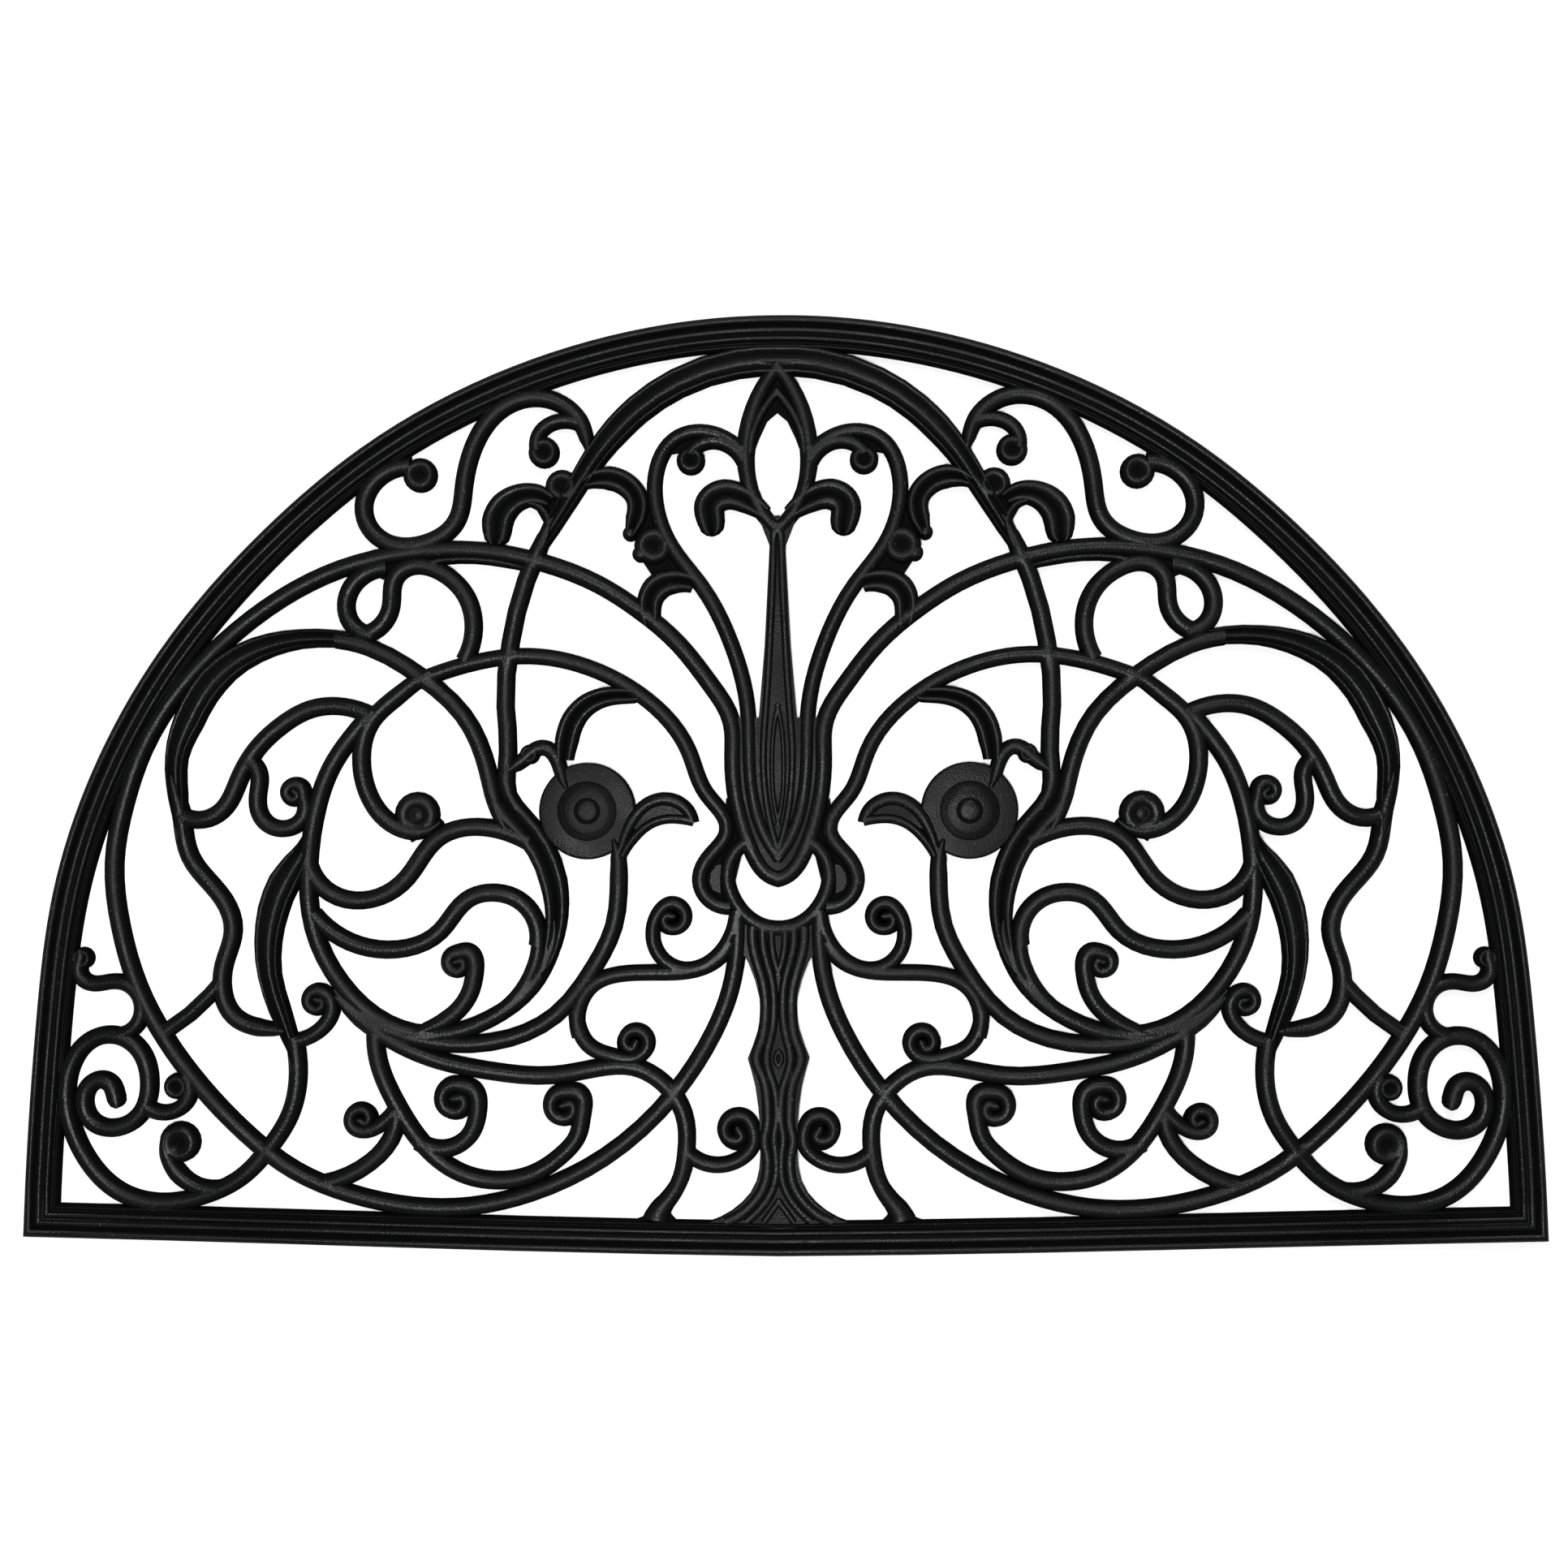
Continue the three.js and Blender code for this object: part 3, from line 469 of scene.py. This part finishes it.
# The block that cuts the mat level is divided this finely, so that each face of the cut stays small.
BLOCK_CUTS = 80
HALF = "right half"

# Where a Mix node keeps its two colours and their mix.
MIX_FIRST = 6
MIX_SECOND = 7
MIX_RESULT = 2

# The rubber's patterns: cells per metre, and the bounds that each is faded between.
CLOUD_SCALE = 26.0
SPECK_SCALE = 700.0
GRAIN_SCALE = 1000.0
FINE_DETAIL = 3.0
SPECK_DETAIL = 2.0
CLOUD_SHARE = 0.4
SATIN_CLOUD = (0.35, 0.65)
DUSTY_CLOUD = (0.5, 0.64)
DUSTY_SPECK = (0.62, 0.74)
DUST_COLOUR = (0.11, 0.09, 0.075)
ROUGHNESS_SWING = 0.1
# Painted shade: where the rubber faces sideways or lies low, a dark copy of it that reflects nothing stands
# in for the shade on its walls and in its valleys, and its crests are satin.
WALL_UP = 0.45
CREST_UP = 0.97
PAINTED_SHADE_HEIGHT = 5 * MM
SATIN_HEIGHT = 7 * MM
FLOOR_ROUGHNESS = 0.9
FLOOR_GLOSS = 0.1

# The floor, and the camera, which hangs a little to the right of the middle and leans a degree or two.
FLOOR_SIZE = 8
FLOOR_DROP = -0.0001
CAMERA_SPOT = (0.03209, 0.00219)
CAMERA_TILT = (math.radians(-0.069), math.radians(1.520), math.radians(-0.132))
SENSOR_WIDTH = 36

STEPS = ("rim", "bars", "heads", "spine", "join", "stage")


def place(x, y, height=0.0):
    """A point of the tables, in the frame and in metres."""
    return Vector((x * MM, (y - FRONT_TO_MIDDLE) * MM, height * MM))


def select_only(*pieces):
    """Select the pieces and nothing else, the first one active."""
    if bpy.context.object and bpy.context.object.mode != "OBJECT":
        bpy.ops.object.mode_set(mode="OBJECT")
    bpy.ops.object.select_all(action="DESELECT")
    for piece in pieces:
        piece.select_set(True)
    if pieces:
        bpy.context.view_layer.objects.active = pieces[0]


def delete(*pieces):
    select_only(*pieces)
    bpy.ops.object.delete()


def keep_in_half(piece):
    """Put a piece with the others of the right-hand half."""
    group = bpy.data.collections.get(HALF) or bpy.data.collections.new(HALF)
    group.objects.link(piece)


def turns_along(lengths, corners):
    """Directions of a smooth curve at its points, each as the turn from the chord that leaves it."""
    last = len(lengths)
    rows = [{"before": 0, "own": 1, "after": 1, "sum": -corners[1]}]
    for k in range(1, last):
        before = 1 / lengths[k - 1]
        after = 1 / lengths[k]
        total = -2 * corners[k] * before - corners[k + 1] * after
        rows.append({"before": before, "own": 2 * (before + after), "after": after, "sum": total})
    rows.append({"before": 1, "own": 1, "after": 0, "sum": 0})
    for k in range(1, last + 1):
        share = rows[k]["before"] / rows[k - 1]["own"]
        rows[k]["own"] -= share * rows[k - 1]["after"]
        rows[k]["sum"] -= share * rows[k - 1]["sum"]
    turns = [0.0] * (last + 2)
    for k in range(last, -1, -1):
        turns[k] = (rows[k]["sum"] - rows[k]["after"] * turns[k + 1]) / rows[k]["own"]
    return turns


def handle_reach(leaving, arriving):
    """How far a handle reaches, as a share of its chord."""
    golden = (math.sqrt(5) - 1) / 2
    s, t = math.sin(leaving), math.sin(arriving)
    c, d = math.cos(leaving), math.cos(arriving)
    lift = math.sqrt(2) * (s - t / 16) * (t - s / 16) * (c - d)
    return (2 + lift) / (3 * (1 + golden * c + (1 - golden) * d))


def turned(vector, angle):
    c, s = math.cos(angle), math.sin(angle)
    return Vector((c * vector.x - s * vector.y, s * vector.x + c * vector.y))


def smooth_handles(points):
    """Each stretch's two handles, as offsets from its ends, and the most that a stretch turns."""
    chords = [b - a for a, b in zip(points, points[1:])]
    if len(chords) == 1:
        return [(chords[0] / 3, -chords[0] / 3)], 0.0
    corners = [0.0]
    for a, b in zip(chords, chords[1:]):
        corners.append(math.atan2(a.x * b.y - a.y * b.x, a.dot(b)))
    corners.append(0.0)
    turns = turns_along([chord.length for chord in chords], corners)
    handles = []
    bend = 0.0
    for k, chord in enumerate(chords):
        leaving = turns[k]
        arriving = -corners[k + 1] - turns[k + 1]
        out = turned(chord, leaving) * handle_reach(leaving, arriving)
        back = turned(chord, -arriving) * handle_reach(arriving, leaving)
        handles.append((out, -back))
        bend = max(bend, abs(leaving) + abs(arriving))
    return handles, bend


def draw_curve(name, points, widths, step):
    """A Bezier curve near to round arcs through points of the tables. Its radius carries the width."""
    select_only()
    bpy.ops.curve.primitive_bezier_curve_add(location=(0, 0, 0))
    curve = bpy.context.object
    curve.name = name
    spline = curve.data.splines[0]
    spline.bezier_points.add(len(points) - 2)
    flat = [Vector(point[:2]) for point in points]
    handles, bend = smooth_handles(flat)
    nowhere = Vector((0, 0))
    for k, knot in enumerate(spline.bezier_points):
        knot.handle_left_type = "FREE"
        knot.handle_right_type = "FREE"
        out = handles[k][0] if k < len(handles) else nowhere
        back = handles[k - 1][1] if k > 0 else nowhere
        knot.co = place(*flat[k])
        knot.handle_right = place(*(flat[k] + out))
        knot.handle_left = place(*(flat[k] + back))
        knot.radius = widths[k] / BAR_WIDTH if widths else 1
    spline.radius_interpolation = "LINEAR"
    spline.resolution_u = min(RINGS_MOST, max(RINGS_LEAST, math.ceil(bend / step)))
    curve.data.twist_mode = "Z_UP"
    return curve


def draw_outline(name, points):
    """A closed outline of straight lines through 3D points."""
    select_only()
    bpy.ops.curve.primitive_bezier_curve_add(location=(0, 0, 0))
    outline = bpy.context.object
    outline.name = name
    outline.data.splines.clear()
    spline = outline.data.splines.new("POLY")
    spline.points.add(len(points) - 1)
    for knot, point in zip(spline.points, points):
        knot.co = (*point, 1)
    spline.use_cyclic_u = True
    return outline


def as_mesh(curve):
    select_only(curve)
    bpy.ops.object.convert(target="MESH")
    return bpy.context.object


def close_and_turn_out(piece):
    """Fill the piece's open ends and point its faces outwards."""
    select_only(piece)
    bpy.ops.object.mode_set(mode="EDIT")
    bpy.ops.mesh.select_all(action="SELECT")
    bpy.ops.mesh.fill_holes(sides=0)
    bpy.ops.mesh.select_all(action="SELECT")
    bpy.ops.mesh.normals_make_consistent(inside=False)
    bpy.ops.object.mode_set(mode="OBJECT")


def wind(row):
    """The further points of a bar that winds round its head, each with its width."""
    head = HEADS[row["head"]]
    centre = Vector((head["x"], head["y"]))
    before = Vector(row["through"][-2][:2])
    last = Vector(row["through"][-1][:2])
    way = last - before
    inward = centre - last
    sense = 1 if way.x * inward.y - way.y * inward.x > 0 else -1
    start = math.atan2(-inward.y, -inward.x)
    width = row.get("width", BAR_WIDTH)
    steps = round(WIND_SWEEP / WIND_STEP)
    points = []
    for k in range(1, steps + 1):
        share = k / steps
        angle = start + sense * math.radians(WIND_SWEEP) * share
        outer = head["radius"] - width / 2
        reach = outer - (outer - WIND_END) * share ** WIND_POWER
        wide = width + (head["end"] - width) * share
        points.append((centre.x + reach * math.cos(angle), centre.y + reach * math.sin(angle), wide))
    return points


def round_cap(points, widths):
    """The points and widths with a round cap added at the last point."""
    last = Vector(points[-1][:2])
    way = (last - Vector(points[-2][:2])).normalized()
    half = widths[-1] / 2
    for degrees in CAP_DEGREES:
        angle = math.radians(degrees)
        tip = last + way * half * math.sin(angle)
        points = points + [(tip.x, tip.y)]
        widths = widths + [2 * half * math.cos(angle)]
    return points, widths


def sweep_bar(row, section, outline, step):
    """A bar of the section, swept along its points and level with its neighbours."""
    points = row["through"] + (wind(row) if "head" in row else [])
    widths = [point[2] if len(point) > 2 else row.get("width", BAR_WIDTH) for point in points]
    if row.get("round") == "last" or "head" in row:
        points, widths = round_cap(points, widths)
    if row.get("round") == "first":
        points, widths = round_cap(points[::-1], widths[::-1])
    bar = draw_curve(row["name"], points, widths, step)
    bar.data.bevel_mode = "OBJECT"
    bar.data.bevel_object = outline
    bar = as_mesh(bar)
    # The radius scales the section's height too, so each point goes back to its own height.
    crest = row.get("crest", CREST)
    for k, vertex in enumerate(bar.data.vertices):
        height = section[k % len(section)][1]
        vertex.co.z = (height * crest / CREST if height > 0 else height) * MM
    close_and_turn_out(bar)
    keep_in_half(bar)


def sweep_bars(rows, step):
    """Sweep the rows' bars along their curves, each with its own kind of section."""
    for kind, section in SECTIONS.items():
        points = [(across * BAR_WIDTH / 2 * MM, height * MM, 0) for across, height in section]
        outline = draw_outline("bar section", points)
        for row in rows:
            if row.get("section", "single") == kind:
                sweep_bar(row, section, outline, step)
        delete(outline)


def raise_steps(steps, level=UNDER):
    """Raise the selected face through steps of how far in from its edge, and height."""
    inset = 0
    for further, height in steps:
        rise = (height - level) * MM
        if further == inset:
            bpy.ops.mesh.extrude_region_move(TRANSFORM_OT_translate={"value": (0, 0, rise)})
        else:
            bpy.ops.mesh.inset(thickness=(further - inset) * MM, depth=rise, use_even_offset=True)
        inset = further
        level = height


def flat_face(name, points):
    """One upward face inside the points, at the pieces' lowest level, selected in edit mode."""
    piece = as_mesh(draw_outline(name, [place(x, y, UNDER) for x, y in points]))
    bpy.ops.object.mode_set(mode="EDIT")
    bpy.ops.mesh.select_all(action="SELECT")
    bpy.ops.mesh.edge_face_add()
    bpy.ops.object.mode_set(mode="OBJECT")
    looks_down = piece.data.polygons[0].normal.z < 0
    bpy.ops.object.mode_set(mode="EDIT")
    if looks_down:
        bpy.ops.mesh.flip_normals()
    return piece


def raise_boss(name, x, y, radius, steps, sides):
    """A round boss, raised in steps from a disc."""
    select_only()
    bpy.ops.mesh.primitive_circle_add(
        vertices=sides, radius=radius * MM, fill_type="NGON", location=place(x, y, UNDER))
    boss = bpy.context.object
    boss.name = name
    bpy.ops.object.transform_apply(location=True, rotation=True, scale=True)
    bpy.ops.object.mode_set(mode="EDIT")
    bpy.ops.mesh.select_all(action="SELECT")
    raise_steps(steps)
    close_and_turn_out(boss)
    keep_in_half(boss)


def edge_points(points):
    """Close points along one of the rim's edges."""
    edge = as_mesh(draw_curve("edge", points, None, EDGE_STEP))
    found = [(v.co.x / MM, v.co.y / MM + FRONT_TO_MIDDLE) for v in edge.data.vertices]
    delete(edge)
    return found


def combine(base, operation, others):
    """Join the others to the base, or cut the base with them, and delete them."""
    group = bpy.data.collections.new("tools")
    for other in others:
        group.objects.link(other)
    select_only(base)
    bpy.ops.object.modifier_add(type="BOOLEAN")
    boolean = base.modifiers[-1]
    boolean.operation = operation
    boolean.solver = "MANIFOLD"
    boolean.operand_type = "COLLECTION"
    boolean.collection = group
    bpy.ops.object.modifier_apply(modifier=boolean.name)
    delete(*others)
    bpy.data.collections.remove(group)


class Wire:
    """A shader socket, or a number, that sums and products can be written with."""

    def __init__(self, sheet, socket):
        self.sheet = sheet
        self.socket = socket

    def maths(self, operation, first, second):
        return self.sheet.node("ShaderNodeMath", {"operation": operation}, {0: first, 1: second})

    def __add__(self, other):
        return self.maths("ADD", self, other)

    def __radd__(self, other):
        return self.maths("ADD", other, self)

    def __sub__(self, other):
        return self.maths("SUBTRACT", self, other)

    def __rsub__(self, other):
        return self.maths("SUBTRACT", other, self)

    def __mul__(self, other):
        return self.maths("MULTIPLY", self, other)

    def __rmul__(self, other):
        return self.maths("MULTIPLY", other, self)


class Sheet:
    """A material's or world's nodes, each made by one call."""

    def __init__(self, tree):
        self.tree = tree
        tree.nodes.clear()

    def node(self, kind, settings=None, values=None, output=0):
        made = self.tree.nodes.new(kind)
        for key, value in (settings or {}).items():
            setattr(made, key, value)
        for key, value in (values or {}).items():
            if isinstance(value, Wire):
                self.tree.links.new(value.socket, made.inputs[key])
            else:
                made.inputs[key].default_value = value
        return Wire(self, made.outputs[output]) if made.outputs else None

    def noise(self, where, scale, detail):
        return self.node("ShaderNodeTexNoise", None, {"Vector": where, "Scale": scale, "Detail": detail})

    def fade(self, value, low, high, at_low=0.0, at_high=1.0):
        """A smooth change from at_low to at_high as the value goes from low to high."""
        return self.node("ShaderNodeMapRange", {"interpolation_type": "SMOOTHSTEP"}, {
            "Value": value, "From Min": low, "From Max": high, "To Min": at_low, "To Max": at_high})

    def blend(self, share, first, second):
        """A colour between the first and the second."""
        return self.node("ShaderNodeMix", {"data_type": "RGBA"}, {
            "Factor": share, MIX_FIRST: (*first, 1), MIX_SECOND: (*second, 1)}, MIX_RESULT)


def rubber_material(finish):
    """Moulded black rubber: satin where it faces up, and on its walls and in its valleys a dark copy that
    reflects nothing, as painted shade.
    """
    material = bpy.data.materials.new("moulded rubber")
    material.use_nodes = True
    sheet = Sheet(material.node_tree)
    where = sheet.node("ShaderNodeTexCoord", output="Object")
    facing = sheet.node("ShaderNodeNewGeometry", output="Normal")
    up = sheet.node("ShaderNodeSeparateXYZ", None, {"Vector": facing}, "Z")
    cloud = sheet.noise(where, CLOUD_SCALE, FINE_DETAIL)
    speck = sheet.noise(where, SPECK_SCALE, SPECK_DETAIL)
    grain = sheet.noise(where, GRAIN_SCALE, FINE_DETAIL)
    dust = sheet.fade(speck, *DUSTY_SPECK) * sheet.fade(cloud, *DUSTY_CLOUD) * finish.dust
    colour = sheet.blend(dust, finish.colour, DUST_COLOUR)
    bump = sheet.node("ShaderNodeBump", None, {
        "Strength": 1.0, "Distance": finish.grain_depth, "Height": grain + cloud * CLOUD_SHARE})
    smoothest = finish.roughness - ROUGHNESS_SWING
    roughest = finish.roughness + ROUGHNESS_SWING
    satin = sheet.node("ShaderNodeBsdfPrincipled", None, {
        "Base Color": colour,
        "Roughness": sheet.fade(cloud, *SATIN_CLOUD, smoothest, roughest),
        "Specular IOR Level": finish.gloss,
        "Normal": bump})
    # Painted shade: this dark copy of the rubber reflects nothing and stands in for the shade on the walls
    # and in the valleys.
    painted_shade = sheet.node("ShaderNodeBsdfPrincipled", None, {
        "Base Color": (*finish.painted_shade_colour, 1), "Roughness": 1.0, "Specular IOR Level": 0.0, "Normal": bump})
    height = sheet.node("ShaderNodeSeparateXYZ", None, {"Vector": where}, "Z")
    # The satin fades into the painted shade on walls that face sideways and on low places.
    share = sheet.fade(up, WALL_UP, CREST_UP) * sheet.fade(height, PAINTED_SHADE_HEIGHT, SATIN_HEIGHT)
    shown = sheet.node("ShaderNodeMixShader", None, {"Fac": share, 1: painted_shade, 2: satin})
    sheet.node("ShaderNodeOutputMaterial", None, {"Surface": shown})
    return material


def floor_material(colour):
    material = bpy.data.materials.new("pale floor")
    material.use_nodes = True
    sheet = Sheet(material.node_tree)
    shown = sheet.node("ShaderNodeBsdfPrincipled", None, {
        "Base Color": (*colour, 1), "Roughness": FLOOR_ROUGHNESS, "Specular IOR Level": FLOOR_GLOSS})
    sheet.node("ShaderNodeOutputMaterial", None, {"Surface": shown})
    return material


class DoormatSizes(bpy.types.PropertyGroup):
    step: FloatProperty(
        name="Bend step", description="Most that a bar turns between two of its rings",
        default=math.radians(9), min=math.radians(3), max=math.radians(30), subtype="ANGLE", unit="ROTATION")
    web_height: FloatProperty(
        name="Web height", description="Height of the low plates in the corners between bars",
        default=WEB * MM, min=0.001, max=0.02, subtype="DISTANCE", unit="LENGTH")
    spine_height: FloatProperty(
        name="Spine height", description="Height of the post and the spear between their ribs",
        default=SPINE * MM, min=0.001, max=0.02, subtype="DISTANCE", unit="LENGTH")
    crest_height: FloatProperty(
        name="Crest height", description="Height of the mat, at which all crests are cut level",
        default=CAD_BOX[1][2], min=0.001, max=0.05, subtype="DISTANCE", unit="LENGTH")


class DoormatFinish(bpy.types.PropertyGroup):
    colour: FloatVectorProperty(
        name="Rubber", description="Colour of the rubber's crests and flats",
        default=(0.0028, 0.003, 0.0033), size=3, min=0, max=1, subtype="COLOR")
    # Colour of the painted shade on the walls and in the valleys, a dark rubber that reflects nothing.
    painted_shade_colour: FloatVectorProperty(
        name="Walls", description="Colour of the dull walls",
        default=(0.0032, 0.0032, 0.0035), size=3, min=0, max=1, subtype="COLOR")
    roughness: FloatProperty(
        name="Roughness", description="Roughness of the crests and flats",
        default=0.36, min=0.1, max=1, subtype="FACTOR")
    gloss: FloatProperty(
        name="Gloss", description="Strength of the crests' reflections",
        default=0.125, min=0, max=1, subtype="FACTOR")
    grain_depth: FloatProperty(
        name="Grain depth", description="Depth of the moulded grain",
        default=0.0002, min=0, max=0.001, precision=6, subtype="DISTANCE", unit="LENGTH")
    dust: FloatProperty(
        name="Dust", description="How much pale dust lies on the rubber",
        default=0.35, min=0, max=1, subtype="FACTOR")


class DoormatStudio(bpy.types.PropertyGroup):
    floor_colour: FloatVectorProperty(
        name="Floor", description="Colour of the plain floor",
        default=(0.9, 0.9, 0.9), size=3, min=0, max=1, subtype="COLOR")
    lamp_power: FloatProperty(
        name="Lamp power", description="Power of the soft lamp overhead",
        default=36, min=0, unit="POWER")
    lamp_size: FloatProperty(
        name="Lamp size", description="Diameter of both soft lamps",
        default=0.45, min=0.05, subtype="DISTANCE", unit="LENGTH")
    lamp_place: FloatVectorProperty(
        name="Lamp place", description="Where the soft lamp hangs",
        default=(-0.13, -0.22, 1.9), size=3, subtype="XYZ", unit="LENGTH")
    back_power: FloatProperty(
        name="Back lamp power", description="Power of the lamp behind the mat",
        default=16, min=0, unit="POWER")
    back_place: FloatVectorProperty(
        name="Back lamp place", description="Where the lamp behind the mat hangs",
        default=(0.15, 1.1, 1.6), size=3, subtype="XYZ", unit="LENGTH")
    surroundings: FloatProperty(
        name="Surroundings", description="Strength of the even light from all round", default=0.25, min=0)
    camera_height: FloatProperty(
        name="Camera height", description="Height of the camera above the floor",
        default=1.1, min=0.2, subtype="DISTANCE", unit="LENGTH")
    camera_lens: FloatProperty(
        name="Lens", description="Focal length of the camera, in millimetres", default=50.40, min=10, max=200)


class DOORMAT_OT_rim(bpy.types.Operator):
    """Raise the ribbed rim in steps from the mat's outline"""
    bl_idname = "doormat.rim"
    bl_label = "Raise rim"

    def execute(self, context):
        edges = edge_points(FRONT_EDGE)[:-1] + [CORNER] + edge_points(ROUND_EDGE)[1:]
        right = [point for point in edges if point == CORNER or math.dist(point, CORNER) > CORNER_CLEAR]
        left = [(-x, y) for x, y in reversed(right[1:-1])]
        rim = flat_face("rim", right + left)
        raise_steps(RIM_SECTION)
        # The inmost face and the underside are bridged, which opens the middle.
        bpy.ops.object.mode_set(mode="OBJECT")
        for face in rim.data.polygons:
            face.select = len(face.vertices) > 4
        bpy.ops.object.mode_set(mode="EDIT")
        bpy.ops.mesh.bridge_edge_loops()
        close_and_turn_out(rim)
        return {"FINISHED"}


class DOORMAT_OT_bars(bpy.types.Operator):
    """Sweep the bars of the right-hand half along their curves"""
    bl_idname = "doormat.bars"
    bl_label = "Sweep bars"

    def execute(self, context):
        sweep_bars(BARS, context.scene.doormat_sizes.step)
        return {"FINISHED"}


class DOORMAT_OT_heads(bpy.types.Operator):
    """Raise the discs under the wound heads, the beads and the roundel"""
    bl_idname = "doormat.heads"
    bl_label = "Raise heads and beads"

    def execute(self, context):
        for name, head in HEADS.items():
            radius = head["radius"] - HEAD_BASE_INSET
            raise_boss(name, head["x"], head["y"], radius, [(0, WEB)], HEAD_SIDES)
        for bead in BEADS:
            shares = BEAD_STEPS[bead.get("shape", "dimple")]
            steps = [(share * bead["radius"], height) for share, height in shares]
            raise_boss(bead["name"], bead["x"], bead["y"], bead["radius"], steps, HEAD_SIDES)
        sides = ROUNDEL["sides"]
        raise_boss("roundel", ROUNDEL["x"], ROUNDEL["y"], ROUNDEL["radius"], ROUNDEL_STEPS, sides)
        return {"FINISHED"}


class DOORMAT_OT_spine(bpy.types.Operator):
    """Raise the post, the spear and the low webs, and sweep the ribs that stand on them"""
    bl_idname = "doormat.spine"
    bl_label = "Raise post and spear"

    def execute(self, context):
        sizes = context.scene.doormat_sizes
        levels = {"web": sizes.web_height / MM, "spine": sizes.spine_height / MM, "island": ISLAND}
        for row in PLATES:
            plate = flat_face(row["name"], row["outline"])
            raise_steps([(0, levels[row["level"]])])
            close_and_turn_out(plate)
            keep_in_half(plate)
        sweep_bars(RIBS, sizes.step)
        return {"FINISHED"}


class DOORMAT_OT_join(bpy.types.Operator):
    """Join the half's pieces, mirror them and cut the joined mat level"""
    bl_idname = "doormat.join"
    bl_label = "Join mat"

    def execute(self, context):
        rim = bpy.data.objects["rim"]
        group = bpy.data.collections[HALF]
        right, *others = list(group.objects)
        combine(right, "UNION", others)
        bpy.data.collections.remove(group)
        select_only(right)
        bpy.ops.object.duplicate()
        left = bpy.context.object
        for vertex in left.data.vertices:
            vertex.co.x = -vertex.co.x
        bpy.ops.object.mode_set(mode="EDIT")
        bpy.ops.mesh.select_all(action="SELECT")
        bpy.ops.mesh.flip_normals()
        bpy.ops.object.mode_set(mode="OBJECT")
        combine(rim, "UNION", [right, left])
        select_only()
        height = context.scene.doormat_sizes.crest_height
        bpy.ops.mesh.primitive_cube_add(size=1, location=(0, 0, height / 2), scale=(1, 1, height))
        block = bpy.context.object
        bpy.ops.object.mode_set(mode="EDIT")
        bpy.ops.mesh.subdivide(number_cuts=BLOCK_CUTS)
        bpy.ops.object.mode_set(mode="OBJECT")
        combine(rim, "INTERSECT", [block])
        rim.name = "rubber_mat"
        # The joins leave material slots behind.
        rim.data.materials.clear()
        for face in rim.data.polygons:
            face.material_index = 0
        select_only(rim)
        bpy.ops.object.shade_smooth_by_angle(angle=SHARP)
        rim.data.materials.append(rubber_material(context.scene.doormat_finish))
        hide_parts("mat")
        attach(rim, "root")
        return {"FINISHED"}


class DOORMAT_OT_stage(bpy.types.Operator):
    """Lay the pale floor, hang the lamps and set the camera above the mat"""
    bl_idname = "doormat.stage"
    bl_label = "Set stage"

    def execute(self, context):
        studio = context.scene.doormat_studio
        select_only()
        bpy.ops.mesh.primitive_plane_add(size=FLOOR_SIZE, location=(0, 0, FLOOR_DROP))
        floor = bpy.context.object
        floor.name = "floor"
        bpy.ops.object.transform_apply(location=True, rotation=True, scale=True)
        floor.data.materials.append(floor_material(studio.floor_colour))
        world = bpy.data.worlds.new("studio")
        context.scene.world = world
        world.use_nodes = True
        sheet = Sheet(world.node_tree)
        even = sheet.node("ShaderNodeBackground", None, {
            "Color": (1, 1, 1, 1), "Strength": studio.surroundings})
        sheet.node("ShaderNodeOutputWorld", None, {"Surface": even})
        lamps = ((studio.lamp_place, studio.lamp_power), (studio.back_place, studio.back_power))
        for hung_at, power in lamps:
            select_only()
            spot = Vector(hung_at)
            tilt = spot.to_track_quat("Z", "Y").to_euler()
            bpy.ops.object.light_add(type="AREA", location=spot, rotation=tilt)
            lamp = bpy.context.object
            lamp.data.shape = "DISK"
            lamp.data.size = studio.lamp_size
            lamp.data.energy = power
        select_only()
        bpy.ops.object.camera_add(location=(*CAMERA_SPOT, studio.camera_height), rotation=CAMERA_TILT)
        camera = bpy.context.object
        camera.data.sensor_width = SENSOR_WIDTH
        camera.data.lens = studio.camera_lens
        context.scene.camera = camera
        context.scene.view_settings.view_transform = "Standard"
        return {"FINISHED"}


class DOORMAT_PT_panel(bpy.types.Panel):
    """The doormat's steps and settings"""
    bl_idname = "DOORMAT_PT_panel"
    bl_label = "Doormat"
    bl_space_type = "VIEW_3D"
    bl_region_type = "UI"
    bl_category = "Doormat"

    def draw(self, context):
        for group in GROUPS:
            box = self.layout.box()
            settings = getattr(context.scene, group)
            for name in settings.__annotations__:
                box.prop(settings, name)
        for step in STEPS:
            self.layout.operator("doormat." + step)


GROUPS = {"doormat_sizes": DoormatSizes, "doormat_finish": DoormatFinish, "doormat_studio": DoormatStudio}
CLASSES = (
    *GROUPS.values(), DOORMAT_OT_rim, DOORMAT_OT_bars, DOORMAT_OT_heads, DOORMAT_OT_spine, DOORMAT_OT_join,
    DOORMAT_OT_stage, DOORMAT_PT_panel,
)


def register():
    for cls in CLASSES:
        bpy.utils.register_class(cls)
    for name, group in GROUPS.items():
        setattr(bpy.types.Scene, name, PointerProperty(type=group))


def unregister():
    for name in GROUPS:
        delattr(bpy.types.Scene, name)
    for cls in reversed(CLASSES):
        bpy.utils.unregister_class(cls)


def main():
    register()
    for step in STEPS:
        getattr(bpy.ops.doormat, step)()


if __name__ == "__main__":
    main()
